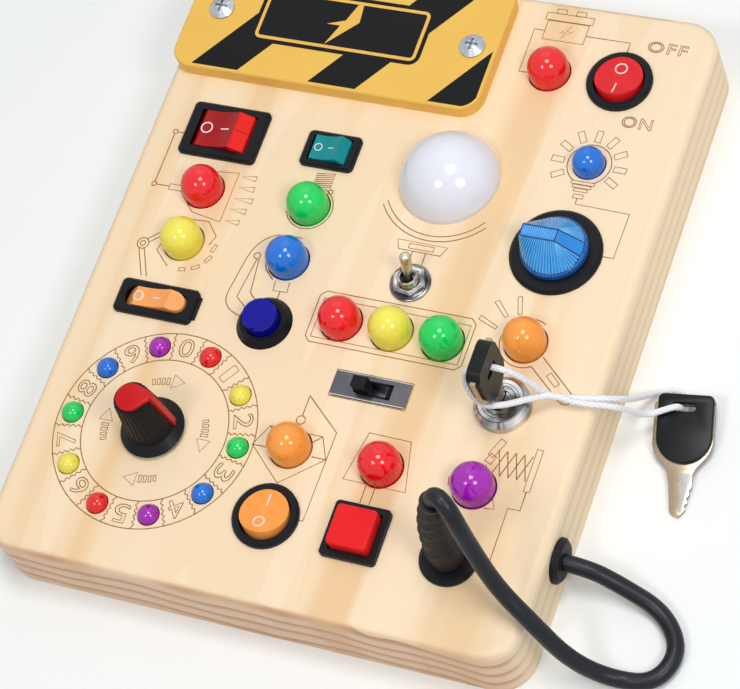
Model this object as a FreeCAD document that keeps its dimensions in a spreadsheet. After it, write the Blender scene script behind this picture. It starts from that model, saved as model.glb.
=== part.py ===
import FreeCAD, Part
import math
import operator
import os

import Sketcher

# A wooden busy board for toddlers: a thick edge-glued pine board with a routed hollow behind,
# fitted with rockers, buttons, a key lock, a selector knob, a toggle, lamps and a jack lead.
# The origin is the centre of the board's underside, +X runs along its width and +Z out of its face.

DOC = FreeCAD.newDocument("busy_board")
SHEET = DOC.addObject("Spreadsheet::Sheet", "Sizes")
NODES = []
POINTS = {"start": 1, "end": 2, "centre": 3}
X_AXIS = FreeCAD.Vector(1, 0, 0)
Y_AXIS = FreeCAD.Vector(0, 1, 0)
Z_AXIS = FreeCAD.Vector(0, 0, 1)

OPERATIONS = {"+": operator.add, "-": operator.sub, "*": operator.mul, "/": operator.truediv}


class Size:
    """A length worked out from the sheet's cells: its expression and its value."""

    def __init__(self, text, value):
        self.text = text
        self.value = value

    def __add__(self, other):
        return join(self, "+", other)

    def __radd__(self, other):
        return join(other, "+", self)

    def __sub__(self, other):
        return join(self, "-", other)

    def __rsub__(self, other):
        return join(other, "-", self)

    def __mul__(self, other):
        return join(self, "*", other)

    def __rmul__(self, other):
        return join(other, "*", self)

    def __truediv__(self, other):
        return join(self, "/", other)

    def __neg__(self):
        return join(0, "-", self)


def as_size(amount):
    if isinstance(amount, Size):
        return amount
    return Size(repr(float(amount)), float(amount))


def join(left, sign, right):
    left = as_size(left)
    right = as_size(right)
    return Size(f"({left.text} {sign} {right.text})", OPERATIONS[sign](left.value, right.value))


def root(amount):
    return Size(f"sqrt({amount.text})", math.sqrt(amount.value))


def sine(amount):
    return Size(f"sin({amount.text})", math.sin(math.radians(amount.value)))


def cosine(amount):
    return Size(f"cos({amount.text})", math.cos(math.radians(amount.value)))


def tangent(amount):
    return Size(f"tan({amount.text})", math.tan(math.radians(amount.value)))


class Sizes:
    """The named sizes below, each in a cell of the sheet."""

    def __init__(self, amounts):
        for row, (name, amount) in enumerate(amounts, 1):
            SHEET.set(f"A{row}", name)
            SHEET.set(f"B{row}", str(amount))
            SHEET.setAlias(f"B{row}", name)
            setattr(self, name, Size("Sizes." + name, float(amount)))


board_wide = 200
board_deep = 250
board_thick = 28
board_corner = 12.5
board_edge = 3.5
wall_thick = 10
face_thick = 8
hollow_corner = 6
ledge_wide = 6
back_thick = 3
fit_gap = 0.3
shaft_gap = 0.05

back_screw_shank = 1.4
back_screw_head = 2.6
back_screw_cone = 1.4
back_screw_long = 12
back_screw_spread = 95
cover_wide = 123.5
cover_deep = 54
cover_thick = 6
cover_corner = 8
cover_edge = 1
cover_screw_left = 13
cover_screw_right = 9.5
cover_screw_up = 26
cover_screw_head = 4.8
cover_screw_rise = 2.4
cover_screw_shank = 2
cover_screw_long = 14
cover_screw_cross = 1
case_wide = 56
case_deep = 38
case_high = 15
case_wall = 1.5
case_flange = 2.5
case_flange_thick = 1.5
cell_radius = 5.2
cell_long = 44.5
cell_nub = 1.9
cell_nub_long = 1

dome_radius = 7.5
dome_collar = 4
dome_gap = 0.4
flange_out = 1.6
flange_thick = 2
small_dome_radius = 5.8
small_dome_collar = 2.2
white_dome_radius = 18.3
white_dome_collar = 2
white_dome_crown = 14
ring_lamp_radius = 3.85
ring_lamp_collar = 0.8
ring_lamp_crown = 2.7
ring_circle = 32.6
ring_step = 36

rocker_tilt = 10
rocker_ridge_high = 3.9
rocker_end_high = 0.4
rocker_end_thick = 2.5
rocker_dish = 0.9
rocker_keel = 1.5
bezel_high = 2.2
bezel_lip = 1
bezel_edge = 0.8
housing_wall = 1
housing_deep = 14
wide_bezel_wide = 31
wide_bezel_deep = 22
wide_window_wide = 22.5
wide_window_deep = 15.5
wide_pivot_deep = 8
wide_ridge_in = 3.8
wide_end_out = 0.8
small_bezel_wide = 21
small_bezel_deep = 14.5
small_window_wide = 15.6
small_window_deep = 10.4
small_pivot_deep = 4
small_ridge_in = 2.1
small_end_out = 0.2
slim_bezel_wide = 31
slim_bezel_deep = 13.5
slim_window_wide = 24.5
slim_window_deep = 8
slim_pivot_deep = 3
slim_ridge_in = 4.9
slim_end_out = 0.3
bezel_corner = 2
window_corner = 0.6
round_bezel_radius = 12
round_window_radius = 9.4
round_housing_radius = 10.8
round_swing_gap = 0.7
round_swing_room = 0.8
round_pivot_high = 1
round_crown = 3.2
round_low = 5
round_cavity_deep = 8

button_bezel_radius = 10.4
button_bezel_top = 8.6
button_bezel_high = 2.5
button_radius = 6.45
button_rise = 7.6
button_edge = 0.6
button_travel = 3
button_stem = 3
square_bezel_wide = 20.4
square_bezel_high = 2.2
square_button_wide = 14.8
square_button_rise = 7
square_corner = 1.5

slide_plate_wide = 28.4
slide_plate_deep = 9.9
slide_plate_thick = 0.6
slide_plate_corner = 1
slide_slot_deep = 4.6
slide_knob_wide = 5.5
slide_knob_deep = 4
slide_knob_rise = 6
slide_travel = 6
slide_body_wide = 19
slide_body_high = 9
toggle_washer_radius = 7.5
toggle_washer_thick = 0.7
toggle_nut_across = 8.4
toggle_nut_thick = 2
toggle_bush_radius = 3.2
toggle_bush_rise = 5
toggle_mouth = 2.8
toggle_pivot_high = 2
toggle_ball = 2
toggle_lever_foot = 1.05
toggle_lever_tip = 1.9
toggle_lever_long = 11.5
toggle_tilt = 20
toggle_body_wide = 8
toggle_body_deep = 13
toggle_body_high = 10

lock_bezel_radius = 10
lock_bezel_high = 3
lock_nose_radius = 8
lock_nose_high = 5
lock_barrel_radius = 8.4
lock_nut_radius = 11
lock_nut_thick = 3
lock_plug_radius = 6
lock_plug_long = 17
key_blade_wide = 7
key_blade_thick = 2
key_blade_in = 18
key_play = 0.25
key_shoulder_high = 10
key_head_wide = 18
key_head_thick = 5
key_head_long = 27
key_head_corner = 4
key_neck_wide = 8
key_round_centre = 12
key_rim = 1
key_chin = 2
key_plate_long = 24
key_slot_up = 18.5
key_slot_wide = 7
key_slot_deep = 2.8
key_tooth = 1.6
key_tip = 2.4

selector_skirt = 11.8
selector_skirt_low = 2
selector_skirt_high = 4.5
selector_waist = 8.6
selector_top = 6.2
selector_rise = 25
selector_cap_thick = 1.4
selector_cap_radius = 5.2
selector_band_wide = 2.6
selector_band_in = 3.6
selector_band_top = 7.4
selector_band_foot = 9.4
selector_band_low = 4.5
selector_digit_angle = 18
selector_shaft = 3
selector_shaft_rise = 15
selector_bush = 4.5
selector_bush_rise = 1.6
selector_body_radius = 12
selector_body_high = 10
rotary_bezel_radius = 16.6
rotary_bezel_high = 2
rotary_shaft = 3
rotary_shaft_rise = 8
rotary_knob_radius = 12
rotary_knob_foot = 2.4
rotary_base_high = 5
rotary_fin_deep = 5
rotary_fin_rise = 13.5
rotary_fin_flat = 3
rotary_fin_back = 10

jack_flange_radius = 10.2
jack_flange_high = 2.5
jack_barrel_radius = 7
jack_long = 16
pin_radius = 3.15
pin_long = 14
plug_grip_radius = 6
plug_grip_high = 14
plug_edge = 0.5
boot_rise = 44
boot_bend_x = 4.6
boot_bend_y = 2
boot_foot_radius = 5.6
boot_top_radius = 4.2
boot_groove = 0.9
boot_ribs = 5
cable_radius = 3
grommet_up = 15
grommet_along = 80.7
grommet_flange = 8
grommet_proud = 2.5
grommet_neck = 5.2
string_radius = 1.1

# Where each fitting sits: its shares of the board's width and depth from the middle, and the ties
# of those that stand beside the cover, the ring or the board's edge.
red_dome_left_across = -0.3425
red_dome_left_up = 0.098
green_dome_coil_across = -0.1315
green_dome_coil_up = 0.1004
yellow_dome_lamp_across = -0.3415
yellow_dome_lamp_up = 0.0104
blue_dome_lamp_across = -0.1315
blue_dome_lamp_up = 0.0112
red_dome_top_share = 0.6373
red_dome_top_up = 0.3788
red_dome_signal_across = 0.0065
red_dome_signal_up = -0.0656
yellow_dome_signal_across = 0.103
yellow_dome_signal_up = -0.0656
green_dome_signal_across = 0.199
green_dome_signal_up = -0.0656
orange_dome_torch_across = 0.344
orange_dome_torch_up = -0.044
orange_dome_pendant_share = 0.43
orange_dome_pendant_up = -0.266
red_dome_shade_across = 0.1725
red_dome_shade_up = -0.266
purple_dome_lamp_across = 0.3425
purple_dome_lamp_up = -0.2668
small_dome_across = 0.346
small_dome_up = 0.2428
white_dome_across = 0.106
white_dome_below_cover = 25.3
ring_from_left = 48.7
ring_up = -0.282
red_rocker_across = -0.3455
red_rocker_up = 0.1936
teal_rocker_across = -0.1305
teal_rocker_up = 0.1932
orange_rocker_across = -0.3455
orange_rocker_up = -0.0904
red_round_across = 0.349
red_round_up = 0.3804
orange_round_aside = 0.5
orange_round_up = -0.3712
blue_button_across = -0.132
blue_button_up = -0.0908
square_button_across = 0.171
square_button_up = -0.3676
slide_across = 0.104
slide_up = -0.1572
toggle_across = 0.104
toggle_up = 0.0124
lock_across = 0.344
lock_up = -0.1432
rotary_across = 0.342
rotary_up = 0.0984
jack_across = 0.342
jack_up = -0.372
spare_key_out = 20.3
spare_key_up = -6.1
spare_key_turn = 11.8
spare_key_lean = 7.5

s = Sizes([(name, amount) for name, amount in vars().items() if isinstance(amount, (int, float))])

DOMES = [
    "red_dome_left",
    "green_dome_coil",
    "yellow_dome_lamp",
    "blue_dome_lamp",
    "red_dome_top",
    "red_dome_signal",
    "yellow_dome_signal",
    "green_dome_signal",
    "orange_dome_torch",
    "orange_dome_pendant",
    "red_dome_shade",
    "purple_dome_lamp",
]
RING_COLOURS = ["red", "yellow", "green", "blue", "purple"]
RING_FIRST = 72

TOP = s.board_thick
UNDER = -s.face_thick
OVER = 1


def cover_edges():
    """The right and the lower edge of the battery cover, which fills the board's top left corner."""
    return s.cover_wide - s.board_wide / 2, s.board_deep / 2 - s.cover_deep


def ring_spot():
    return s.ring_from_left - s.board_wide / 2, s.board_deep * s.ring_up


def top_dome_spot():
    """The dome between the cover and the round rocker keeps clear of both."""
    cover_right = cover_edges()[0]
    rocker_left = s.board_wide * s.red_round_across - s.round_bezel_radius
    free = rocker_left - cover_right - 2 * s.dome_radius
    return cover_right + s.dome_radius + free * s.red_dome_top_share, s.board_deep * s.red_dome_top_up


def pendant_spot():
    """The dome between the ring and the right column."""
    ring_x = ring_spot()[0]
    span = s.board_wide * s.purple_dome_lamp_across - ring_x
    return ring_x + span * s.orange_dome_pendant_share, s.board_deep * s.orange_dome_pendant_up


def orange_round_spot():
    return pendant_spot()[0] + s.orange_round_aside, s.board_deep * s.orange_round_up


def white_dome_spot():
    return s.board_wide * s.white_dome_across, cover_edges()[1] - s.white_dome_below_cover


def spare_key_spot():
    return s.board_wide / 2 + s.spare_key_out, s.spare_key_up


SPOTS = {
    "selector": ring_spot,
    "red_dome_top": top_dome_spot,
    "orange_dome_pendant": pendant_spot,
    "orange_round": orange_round_spot,
    "white_dome": white_dome_spot,
    "spare_key": spare_key_spot,
}


def spot(name):
    """The two coordinates of a fitting's centre on the board's face."""
    if name in SPOTS:
        return SPOTS[name]()
    return s.board_wide * getattr(s, name + "_across"), s.board_deep * getattr(s, name + "_up")


def node(label, thing):
    thing.Label = label
    NODES.append(thing)
    return thing


def place(thing, x, y, z, rotation=FreeCAD.Rotation()):
    thing.Placement = FreeCAD.Placement(FreeCAD.Vector(0, 0, 0), rotation)
    for axis, amount in zip("xyz", (x, y, z)):
        thing.setExpression(f"Placement.Base.{axis}", as_size(amount).text)


def new_body(name):
    return DOC.addObject("PartDesign::Body", "body_" + name)


def sketch_on(body, plane, height=0):
    """A sketch on one of the body's own origin planes, moved along its normal."""
    sketch = body.newObject("Sketcher::SketchObject", "sketch")
    for feature in body.Origin.OriginFeatures:
        if feature.Role == plane:
            sketch.AttachmentSupport = (feature, [""])
    sketch.MapMode = "FlatFace"
    sketch.setExpression("AttachmentOffset.Base.z", as_size(height).text)
    return sketch


def pin(sketch, kind, geometry, point, amount):
    """Ties a point's distance from the sketch's origin to the sheet."""
    amount = as_size(amount)
    row = sketch.addConstraint(Sketcher.Constraint(kind, -1, 1, geometry, point, amount.value))
    sketch.setExpression(f"Constraints[{row}]", amount.text)


def tie_radius(sketch, geometry, radius):
    row = sketch.addConstraint(Sketcher.Constraint("Radius", geometry, radius.value))
    sketch.setExpression(f"Constraints[{row}]", radius.text)


def flat(x, y):
    return FreeCAD.Vector(as_size(x).value, as_size(y).value, 0)


def arc_between(start, end, radius):
    """An arc that turns left for a positive radius and right for a negative one."""
    middle = (start + end) / 2
    chord = end - start
    rise = math.sqrt(max(radius ** 2 - (chord.Length / 2) ** 2, 0))
    side = FreeCAD.Vector(-chord.y, chord.x, 0).normalize()
    centre = middle + side * math.copysign(rise, radius)
    angles = [math.atan2(p.y - centre.y, p.x - centre.x) for p in (start, end)]
    if radius < 0:
        angles.reverse()
    if angles[1] < angles[0]:
        angles[1] += 2 * math.pi
    return Part.ArcOfCircle(Part.Circle(centre, Z_AXIS, abs(radius)), *angles)


def shape_arc(sketch, row, before, point):
    """Fixes an arc by its radius, or a half circle by the line that its centre is on."""
    radius = as_size(point[2])
    chord = flat(*point[:2]) - flat(*before[:2])
    if chord.Length < 1.999 * abs(radius.value):
        tie_radius(sketch, row, radius if radius.value > 0 else -radius)
    elif abs(chord.x) > abs(chord.y):
        pin(sketch, "DistanceY", row, POINTS["centre"], point[1])
    else:
        pin(sketch, "DistanceX", row, POINTS["centre"], point[0])


def outline(sketch, points):
    """A closed outline. A point's third value is the radius of the arc that leads to it."""
    first = sketch.GeometryCount
    joints = []
    for before, point in zip([points[-1]] + points[:-1], points):
        start = flat(*before[:2])
        end = flat(*point[:2])
        if len(point) == 2:
            sketch.addGeometry(Part.LineSegment(start, end), False)
            joints.append((POINTS["start"], POINTS["end"]))
        else:
            radius = as_size(point[2]).value
            sketch.addGeometry(arc_between(start, end, radius), False)
            ends = [POINTS["start"], POINTS["end"]]
            joints.append(ends if radius > 0 else ends[::-1])
    count = len(points)
    for i in range(count):
        after = (i + 1) % count
        sketch.addConstraint(
            Sketcher.Constraint("Coincident", first + i, joints[i][1], first + after, joints[after][0])
        )
    for i, point in enumerate(points):
        pin(sketch, "DistanceX", first + i, joints[i][1], point[0])
        pin(sketch, "DistanceY", first + i, joints[i][1], point[1])
        if len(point) == 3:
            shape_arc(sketch, first + i, points[i - 1], point)


def circle(sketch, x, y, radius):
    radius = as_size(radius)
    row = sketch.addGeometry(Part.Circle(flat(x, y), Z_AXIS, radius.value), False)
    pin(sketch, "DistanceX", row, POINTS["centre"], x)
    pin(sketch, "DistanceY", row, POINTS["centre"], y)
    tie_radius(sketch, row, radius)


def box(sketch, x, y, wide, deep):
    outline(sketch, [
        (x - wide / 2, y - deep / 2),
        (x + wide / 2, y - deep / 2),
        (x + wide / 2, y + deep / 2),
        (x - wide / 2, y + deep / 2),
    ])


def rounded(sketch, x, y, wide, deep, corner, first_corner=None):
    """A rectangle with round corners; first_corner is the radius at its top left."""
    left = x - wide / 2
    right = x + wide / 2
    low = y - deep / 2
    high = y + deep / 2
    other = first_corner or corner
    outline(sketch, [
        (left + corner, low, corner),
        (right - corner, low),
        (right, low + corner, corner),
        (right, high - corner),
        (right - corner, high, corner),
        (left + other, high),
        (left, high - other, other),
        (left, low + corner),
    ])


def pad(body, sketch, length, middle=False, down=False):
    feature = body.newObject("PartDesign::Pad", "pad")
    feature.Profile = sketch
    feature.SideType = "Symmetric" if middle else "One side"
    feature.Reversed = down
    feature.setExpression("Length", as_size(length).text)
    return feature


def pocket(body, sketch, length, middle=False, up=False):
    feature = body.newObject("PartDesign::Pocket", "pocket")
    feature.Profile = sketch
    feature.SideType = "Symmetric" if middle else "One side"
    feature.Reversed = up
    feature.setExpression("Length", as_size(length).text)
    return feature


def revolve(body, profile, cut=False):
    """Turns a profile of radius and height about the body's own Z axis."""
    sketch = sketch_on(body, "XZ_Plane")
    outline(sketch, profile)
    feature = body.newObject("PartDesign::Groove" if cut else "PartDesign::Revolution", "turn")
    feature.Profile = sketch
    feature.ReferenceAxis = (sketch, ["V_Axis"])
    feature.Angle = 360
    return feature


def turned(name, profile, x, y, z, rotation=FreeCAD.Rotation()):
    body = new_body(name)
    revolve(body, profile)
    place(body, x, y, z, rotation)
    return body


def soften(body, kind, base, chosen, amount):
    """A fillet or chamfer on the edges of the base feature that the test chooses."""
    DOC.recompute()
    names = [f"Edge{i + 1}" for i, edge in enumerate(base.Shape.Edges) if chosen(edge)]
    feature = body.newObject("PartDesign::" + kind, kind.lower())
    feature.Base = (base, names)
    feature.setExpression("Radius" if kind == "Fillet" else "Size", as_size(amount).text)
    return feature


def at_height(height):
    """Chooses the edges that lie level at a height."""
    height = as_size(height).value
    return lambda edge: (
        abs(edge.BoundBox.ZMin - height) < 1e-6 and abs(edge.BoundBox.ZMax - height) < 1e-6
    )


def compound(label, things):
    group = DOC.addObject("Part::Compound", "group_" + label)
    group.Links = things
    return node(label, group)


def battery_centre():
    left = -s.board_wide / 2
    high = s.board_deep / 2
    return left + s.cover_wide / 2, high - s.cover_deep / 2


def cover_screw_spots():
    left = -s.board_wide / 2
    row = s.board_deep / 2 - s.cover_deep + s.cover_screw_up
    return [(left + s.cover_screw_left, row), (left + s.cover_wide - s.cover_screw_right, row)]


def back_screw_spots():
    side = s.board_wide / 2 - s.wall_thick + s.ledge_wide / 2
    rows = (-s.back_screw_spread, as_size(0), s.back_screw_spread)
    return [(x, y) for x in (-side, side) for y in rows]


def ring_lamp_spots(colour):
    """The two lamps of one colour stand opposite each other on the ring."""
    x, y = spot("selector")
    first = RING_FIRST - s.ring_step * RING_COLOURS.index(colour)
    return [
        (
            x + s.ring_circle * cosine(first + turn),
            y + s.ring_circle * sine(first + turn),
        )
        for turn in (0, 180)
    ]


def rocker_swing(kind):
    """How far a rocker's pressed end reaches from its pivot's line, and its lowest corner's height."""
    end_x = getattr(s, kind + "_window_wide") / 2 - s.fit_gap + getattr(s, kind + "_end_out")
    end = getattr(s, kind + "_pivot_deep") + s.rocker_end_high
    reach = end_x * cosine(s.rocker_tilt) + end * sine(s.rocker_tilt)
    low = (end - s.rocker_end_thick) * cosine(s.rocker_tilt) - end_x * sine(s.rocker_tilt)
    return reach, low


def housing_size(kind):
    """A rocker housing runs wider than its window, where the rocker swings."""
    wide = 2 * (rocker_swing(kind)[0] + s.fit_gap + s.housing_wall)
    deep = getattr(s, kind + "_window_deep") + 2 * s.housing_wall
    return wide, deep


def face_holes(sketch):
    """The holes that the fittings pass through."""
    gap = s.fit_gap
    for name in DOMES:
        circle(sketch, *spot(name), s.dome_radius + s.dome_gap)
    circle(sketch, *spot("small_dome"), s.small_dome_radius + gap)
    circle(sketch, *spot("white_dome"), s.white_dome_radius - s.flange_out)
    for colour in RING_COLOURS:
        for x, y in ring_lamp_spots(colour):
            circle(sketch, x, y, s.ring_lamp_radius + gap)
    for name, kind in (("red_rocker", "wide"), ("teal_rocker", "small"), ("orange_rocker", "slim")):
        wide, deep = housing_size(kind)
        box(sketch, *spot(name), wide + 2 * gap, deep + 2 * gap)
    for name in ("red_round", "orange_round"):
        circle(sketch, *spot(name), s.round_housing_radius + gap)
    circle(sketch, *spot("blue_button"), s.button_radius + gap + s.housing_wall + gap)
    square = s.square_button_wide + 4 * gap + 2 * s.housing_wall
    box(sketch, *spot("square_button"), square, square)
    box(sketch, *spot("slide"), s.slide_body_wide + 2 * gap, s.slide_plate_deep - 2 * gap)
    circle(sketch, *spot("toggle"), s.toggle_bush_radius + gap)
    circle(sketch, *spot("lock"), s.lock_barrel_radius + gap)
    circle(sketch, *spot("selector"), s.selector_bush + gap)
    circle(sketch, *spot("rotary"), s.rotary_shaft + s.housing_wall + gap)
    circle(sketch, *spot("jack"), s.jack_barrel_radius + gap)


def wood_board():
    body = new_body("board")
    slab = sketch_on(body, "XY_Plane")
    rounded(slab, 0, 0, s.board_wide, s.board_deep, s.board_corner)
    blank = pad(body, slab, s.board_thick)
    soften(body, "Fillet", blank, at_height(s.board_thick), s.board_edge)

    hollow = sketch_on(body, "XY_Plane")
    wide = s.board_wide - 2 * s.wall_thick
    deep = s.board_deep - 2 * s.wall_thick
    rounded(hollow, 0, 0, wide, deep, s.hollow_corner)
    pocket(body, hollow, TOP - s.face_thick, up=True)

    ledge = sketch_on(body, "XY_Plane")
    ledge_wide = wide + 2 * s.ledge_wide
    ledge_deep = deep + 2 * s.ledge_wide
    rounded(ledge, 0, 0, ledge_wide, ledge_deep, s.hollow_corner + s.ledge_wide)
    pocket(body, ledge, s.back_thick, up=True)

    holes = sketch_on(body, "XY_Plane", TOP)
    face_holes(holes)
    pocket(body, holes, s.face_thick + OVER)

    well = sketch_on(body, "XY_Plane", TOP)
    x, y = battery_centre()
    box(well, x, y, s.case_wide + 2 * s.fit_gap, s.case_deep + 2 * s.fit_gap)
    pocket(body, well, s.case_high + s.fit_gap)

    rebate = sketch_on(body, "XY_Plane", TOP)
    room = 2 * s.case_flange + 2 * s.fit_gap
    box(rebate, x, y, s.case_wide + room, s.case_deep + room)
    pocket(body, rebate, s.case_flange_thick)

    drilled = sketch_on(body, "XY_Plane", TOP)
    for x, y in cover_screw_spots():
        circle(drilled, x, y, s.cover_screw_shank + s.shaft_gap)
    pocket(body, drilled, s.cover_screw_long - s.cover_thick + OVER)

    bored = sketch_on(body, "XY_Plane", s.back_thick)
    for x, y in back_screw_spots():
        circle(bored, x, y, s.back_screw_shank + s.shaft_gap)
    pocket(body, bored, s.back_screw_long - s.back_thick + OVER, up=True)

    side = sketch_on(body, "YZ_Plane", s.board_wide / 2)
    circle(side, -s.grommet_along, s.grommet_up, s.grommet_neck + s.shaft_gap)
    pocket(body, side, s.wall_thick + OVER)
    return node("wood_board", body)


def back_panel():
    body = new_body("back")
    sheet = sketch_on(body, "XY_Plane")
    inset = s.wall_thick - s.ledge_wide + s.fit_gap
    wide = s.board_wide - 2 * inset
    deep = s.board_deep - 2 * inset
    rounded(sheet, 0, 0, wide, deep, s.hollow_corner + s.ledge_wide)
    pad(body, sheet, s.back_thick)
    profile = [
        (0, 0),
        (s.back_screw_head + s.shaft_gap, 0),
        (s.back_screw_shank + s.shaft_gap, s.back_screw_cone),
        (s.back_screw_shank + s.shaft_gap, s.back_thick),
        (0, s.back_thick),
    ]
    DOC.recompute()
    for x, y in back_screw_spots():
        sink = sketch_on(body, "XZ_Plane", -y)
        outline(sink, [(x + r, z) for r, z in profile])
        cut = body.newObject("PartDesign::Groove", "countersink")
        cut.Profile = sink
        line = sink.addGeometry(Part.LineSegment(flat(x, 0), flat(x, s.back_thick)), True)
        pin(sink, "DistanceX", line, POINTS["start"], x)
        pin(sink, "DistanceY", line, POINTS["start"], 0)
        pin(sink, "DistanceX", line, POINTS["end"], x)
        pin(sink, "DistanceY", line, POINTS["end"], s.back_thick)
        cut.ReferenceAxis = (sink, ["Axis0"])
        cut.Angle = 360
    return node("back_panel", body)


def screws():
    """Two pan-head screws hold the battery cover and six countersunk ones the back panel."""
    made = []
    for x, y in back_screw_spots():
        made.append(turned("back_screw", [
            (0, 0),
            (s.back_screw_head, 0),
            (s.back_screw_shank, s.back_screw_cone),
            (s.back_screw_shank, s.back_screw_long),
            (0, s.back_screw_long),
        ], x, y, 0))
    for x, y in cover_screw_spots():
        body = turned("cover_screw", [
            (0, s.cover_thick - s.cover_screw_long),
            (s.cover_screw_shank, s.cover_thick - s.cover_screw_long),
            (s.cover_screw_shank, s.cover_thick),
            (s.cover_screw_head, s.cover_thick),
            (s.cover_screw_head, s.cover_thick + s.cover_screw_rise / 3),
            (s.cover_screw_head / 3, s.cover_thick + s.cover_screw_rise),
            (0, s.cover_thick + s.cover_screw_rise),
        ], x, y, TOP)
        cross = sketch_on(body, "XY_Plane", s.cover_thick + s.cover_screw_rise)
        arm = s.cover_screw_head / 2
        half = s.cover_screw_cross / 2
        outline(cross, [
            (-arm, -half), (-half, -half), (-half, -arm), (half, -arm), (half, -half), (arm, -half),
            (arm, half), (half, half), (half, arm), (-half, arm), (-half, half), (-arm, half),
        ])
        pocket(body, cross, s.cover_screw_rise * 0.6)
        made.append(body)
    compound("screws", made)


def battery_parts():
    """A screwed cover plate over a moulded case with three small cells side by side."""
    x, y = battery_centre()
    cover = new_body("cover")
    sheet = sketch_on(cover, "XY_Plane")
    rounded(sheet, 0, 0, s.cover_wide, s.cover_deep, s.cover_corner, s.board_corner)
    plate = pad(cover, sheet, s.cover_thick)
    soften(cover, "Fillet", plate, at_height(s.cover_thick), s.cover_edge)
    drilled = sketch_on(cover, "XY_Plane", s.cover_thick)
    for hole_x, hole_y in cover_screw_spots():
        circle(drilled, hole_x - x, hole_y - y, s.cover_screw_shank + s.shaft_gap)
    pocket(cover, drilled, s.cover_thick)
    place(cover, x, y, TOP)
    node("battery_cover", cover)

    case = new_body("case")
    flange = sketch_on(case, "XY_Plane")
    box(flange, 0, 0, s.case_wide + 2 * s.case_flange, s.case_deep + 2 * s.case_flange)
    pad(case, flange, s.case_flange_thick, down=True)
    tub = sketch_on(case, "XY_Plane")
    box(tub, 0, 0, s.case_wide, s.case_deep)
    pad(case, tub, s.case_high, down=True)
    inside = sketch_on(case, "XY_Plane")
    box(inside, 0, 0, s.case_wide - 2 * s.case_wall, s.case_deep - 2 * s.case_wall)
    pocket(case, inside, s.case_high - s.case_wall)
    place(case, x, y, TOP)
    node("battery_case", case)

    cells = []
    pitch = 2 * s.cell_radius + s.fit_gap
    floor = TOP - s.case_high + s.case_wall + s.cell_radius
    for row, turn in ((-1, 90), (0, -90), (1, 90)):
        cells.append(turned("cell", [
            (0, -s.cell_long / 2),
            (s.cell_radius, -s.cell_long / 2),
            (s.cell_radius, s.cell_long / 2 - s.cell_nub_long),
            (s.cell_nub, s.cell_long / 2 - s.cell_nub_long),
            (s.cell_nub, s.cell_long / 2),
            (0, s.cell_long / 2),
        ], x, y + row * pitch, floor, FreeCAD.Rotation(Y_AXIS, turn)))
    compound("battery_cells", cells)


def crown_radius(radius, height):
    """The sphere's radius of a cap of the given rim radius and height."""
    return (radius * radius + height * height) / (2 * height)


def lens(name, radius, collar, crown, place_name=None, at=None):
    """A moulded lamp lens, held by a flange under the board's face."""
    body = turned(name, [
        (0, UNDER - s.flange_thick),
        (radius + s.flange_out, UNDER - s.flange_thick),
        (radius + s.flange_out, UNDER),
        (radius, UNDER),
        (radius, collar),
        (0, collar + crown, crown_radius(radius, crown)),
    ], *(at or spot(place_name)), TOP)
    return body


def lamps():
    for name in DOMES:
        node(name, lens(name, s.dome_radius, s.dome_collar, s.dome_radius, name))
    small = lens("small", s.small_dome_radius, s.small_dome_collar, s.small_dome_radius, "small_dome")
    node("small_dome", small)
    neck = s.white_dome_radius - s.flange_out - s.fit_gap
    node("white_dome", turned("white", [
        (0, UNDER),
        (neck, UNDER),
        (neck, 0),
        (s.white_dome_radius, 0),
        (s.white_dome_radius, s.white_dome_collar),
        (0, s.white_dome_collar + s.white_dome_crown,
         crown_radius(s.white_dome_radius, s.white_dome_crown)),
    ], *spot("white_dome"), TOP))
    for colour in RING_COLOURS:
        pair = [
            lens("ring", s.ring_lamp_radius, s.ring_lamp_collar, s.ring_lamp_crown, at=at)
            for at in ring_lamp_spots(colour)
        ]
        compound("ring_lamps_" + colour, pair)


def rocker_profile(body, kind, reach, length):
    """A dished top between two ridges, ends that slope down, and a keel that rocks in its trough."""
    pivot = getattr(s, kind + "_pivot_deep")
    ridge_x = reach - getattr(s, kind + "_ridge_in")
    ridge = pivot + s.rocker_ridge_high
    end_x = reach + getattr(s, kind + "_end_out")
    end = pivot + s.rocker_end_high
    low = end - s.rocker_end_thick
    dish = (ridge_x * ridge_x + s.rocker_dish * s.rocker_dish) / (2 * s.rocker_dish)
    keel = s.rocker_keel
    profile = sketch_on(body, "XZ_Plane")
    outline(profile, [
        (end_x, low),
        (end_x, end),
        (ridge_x, ridge),
        (-ridge_x, ridge, -dish),
        (-end_x, end),
        (-end_x, low),
        (-keel, low),
        (-keel, 0),
        (keel, 0, keel),
        (keel, low),
    ])
    return pad(body, profile, length, middle=True)


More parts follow.
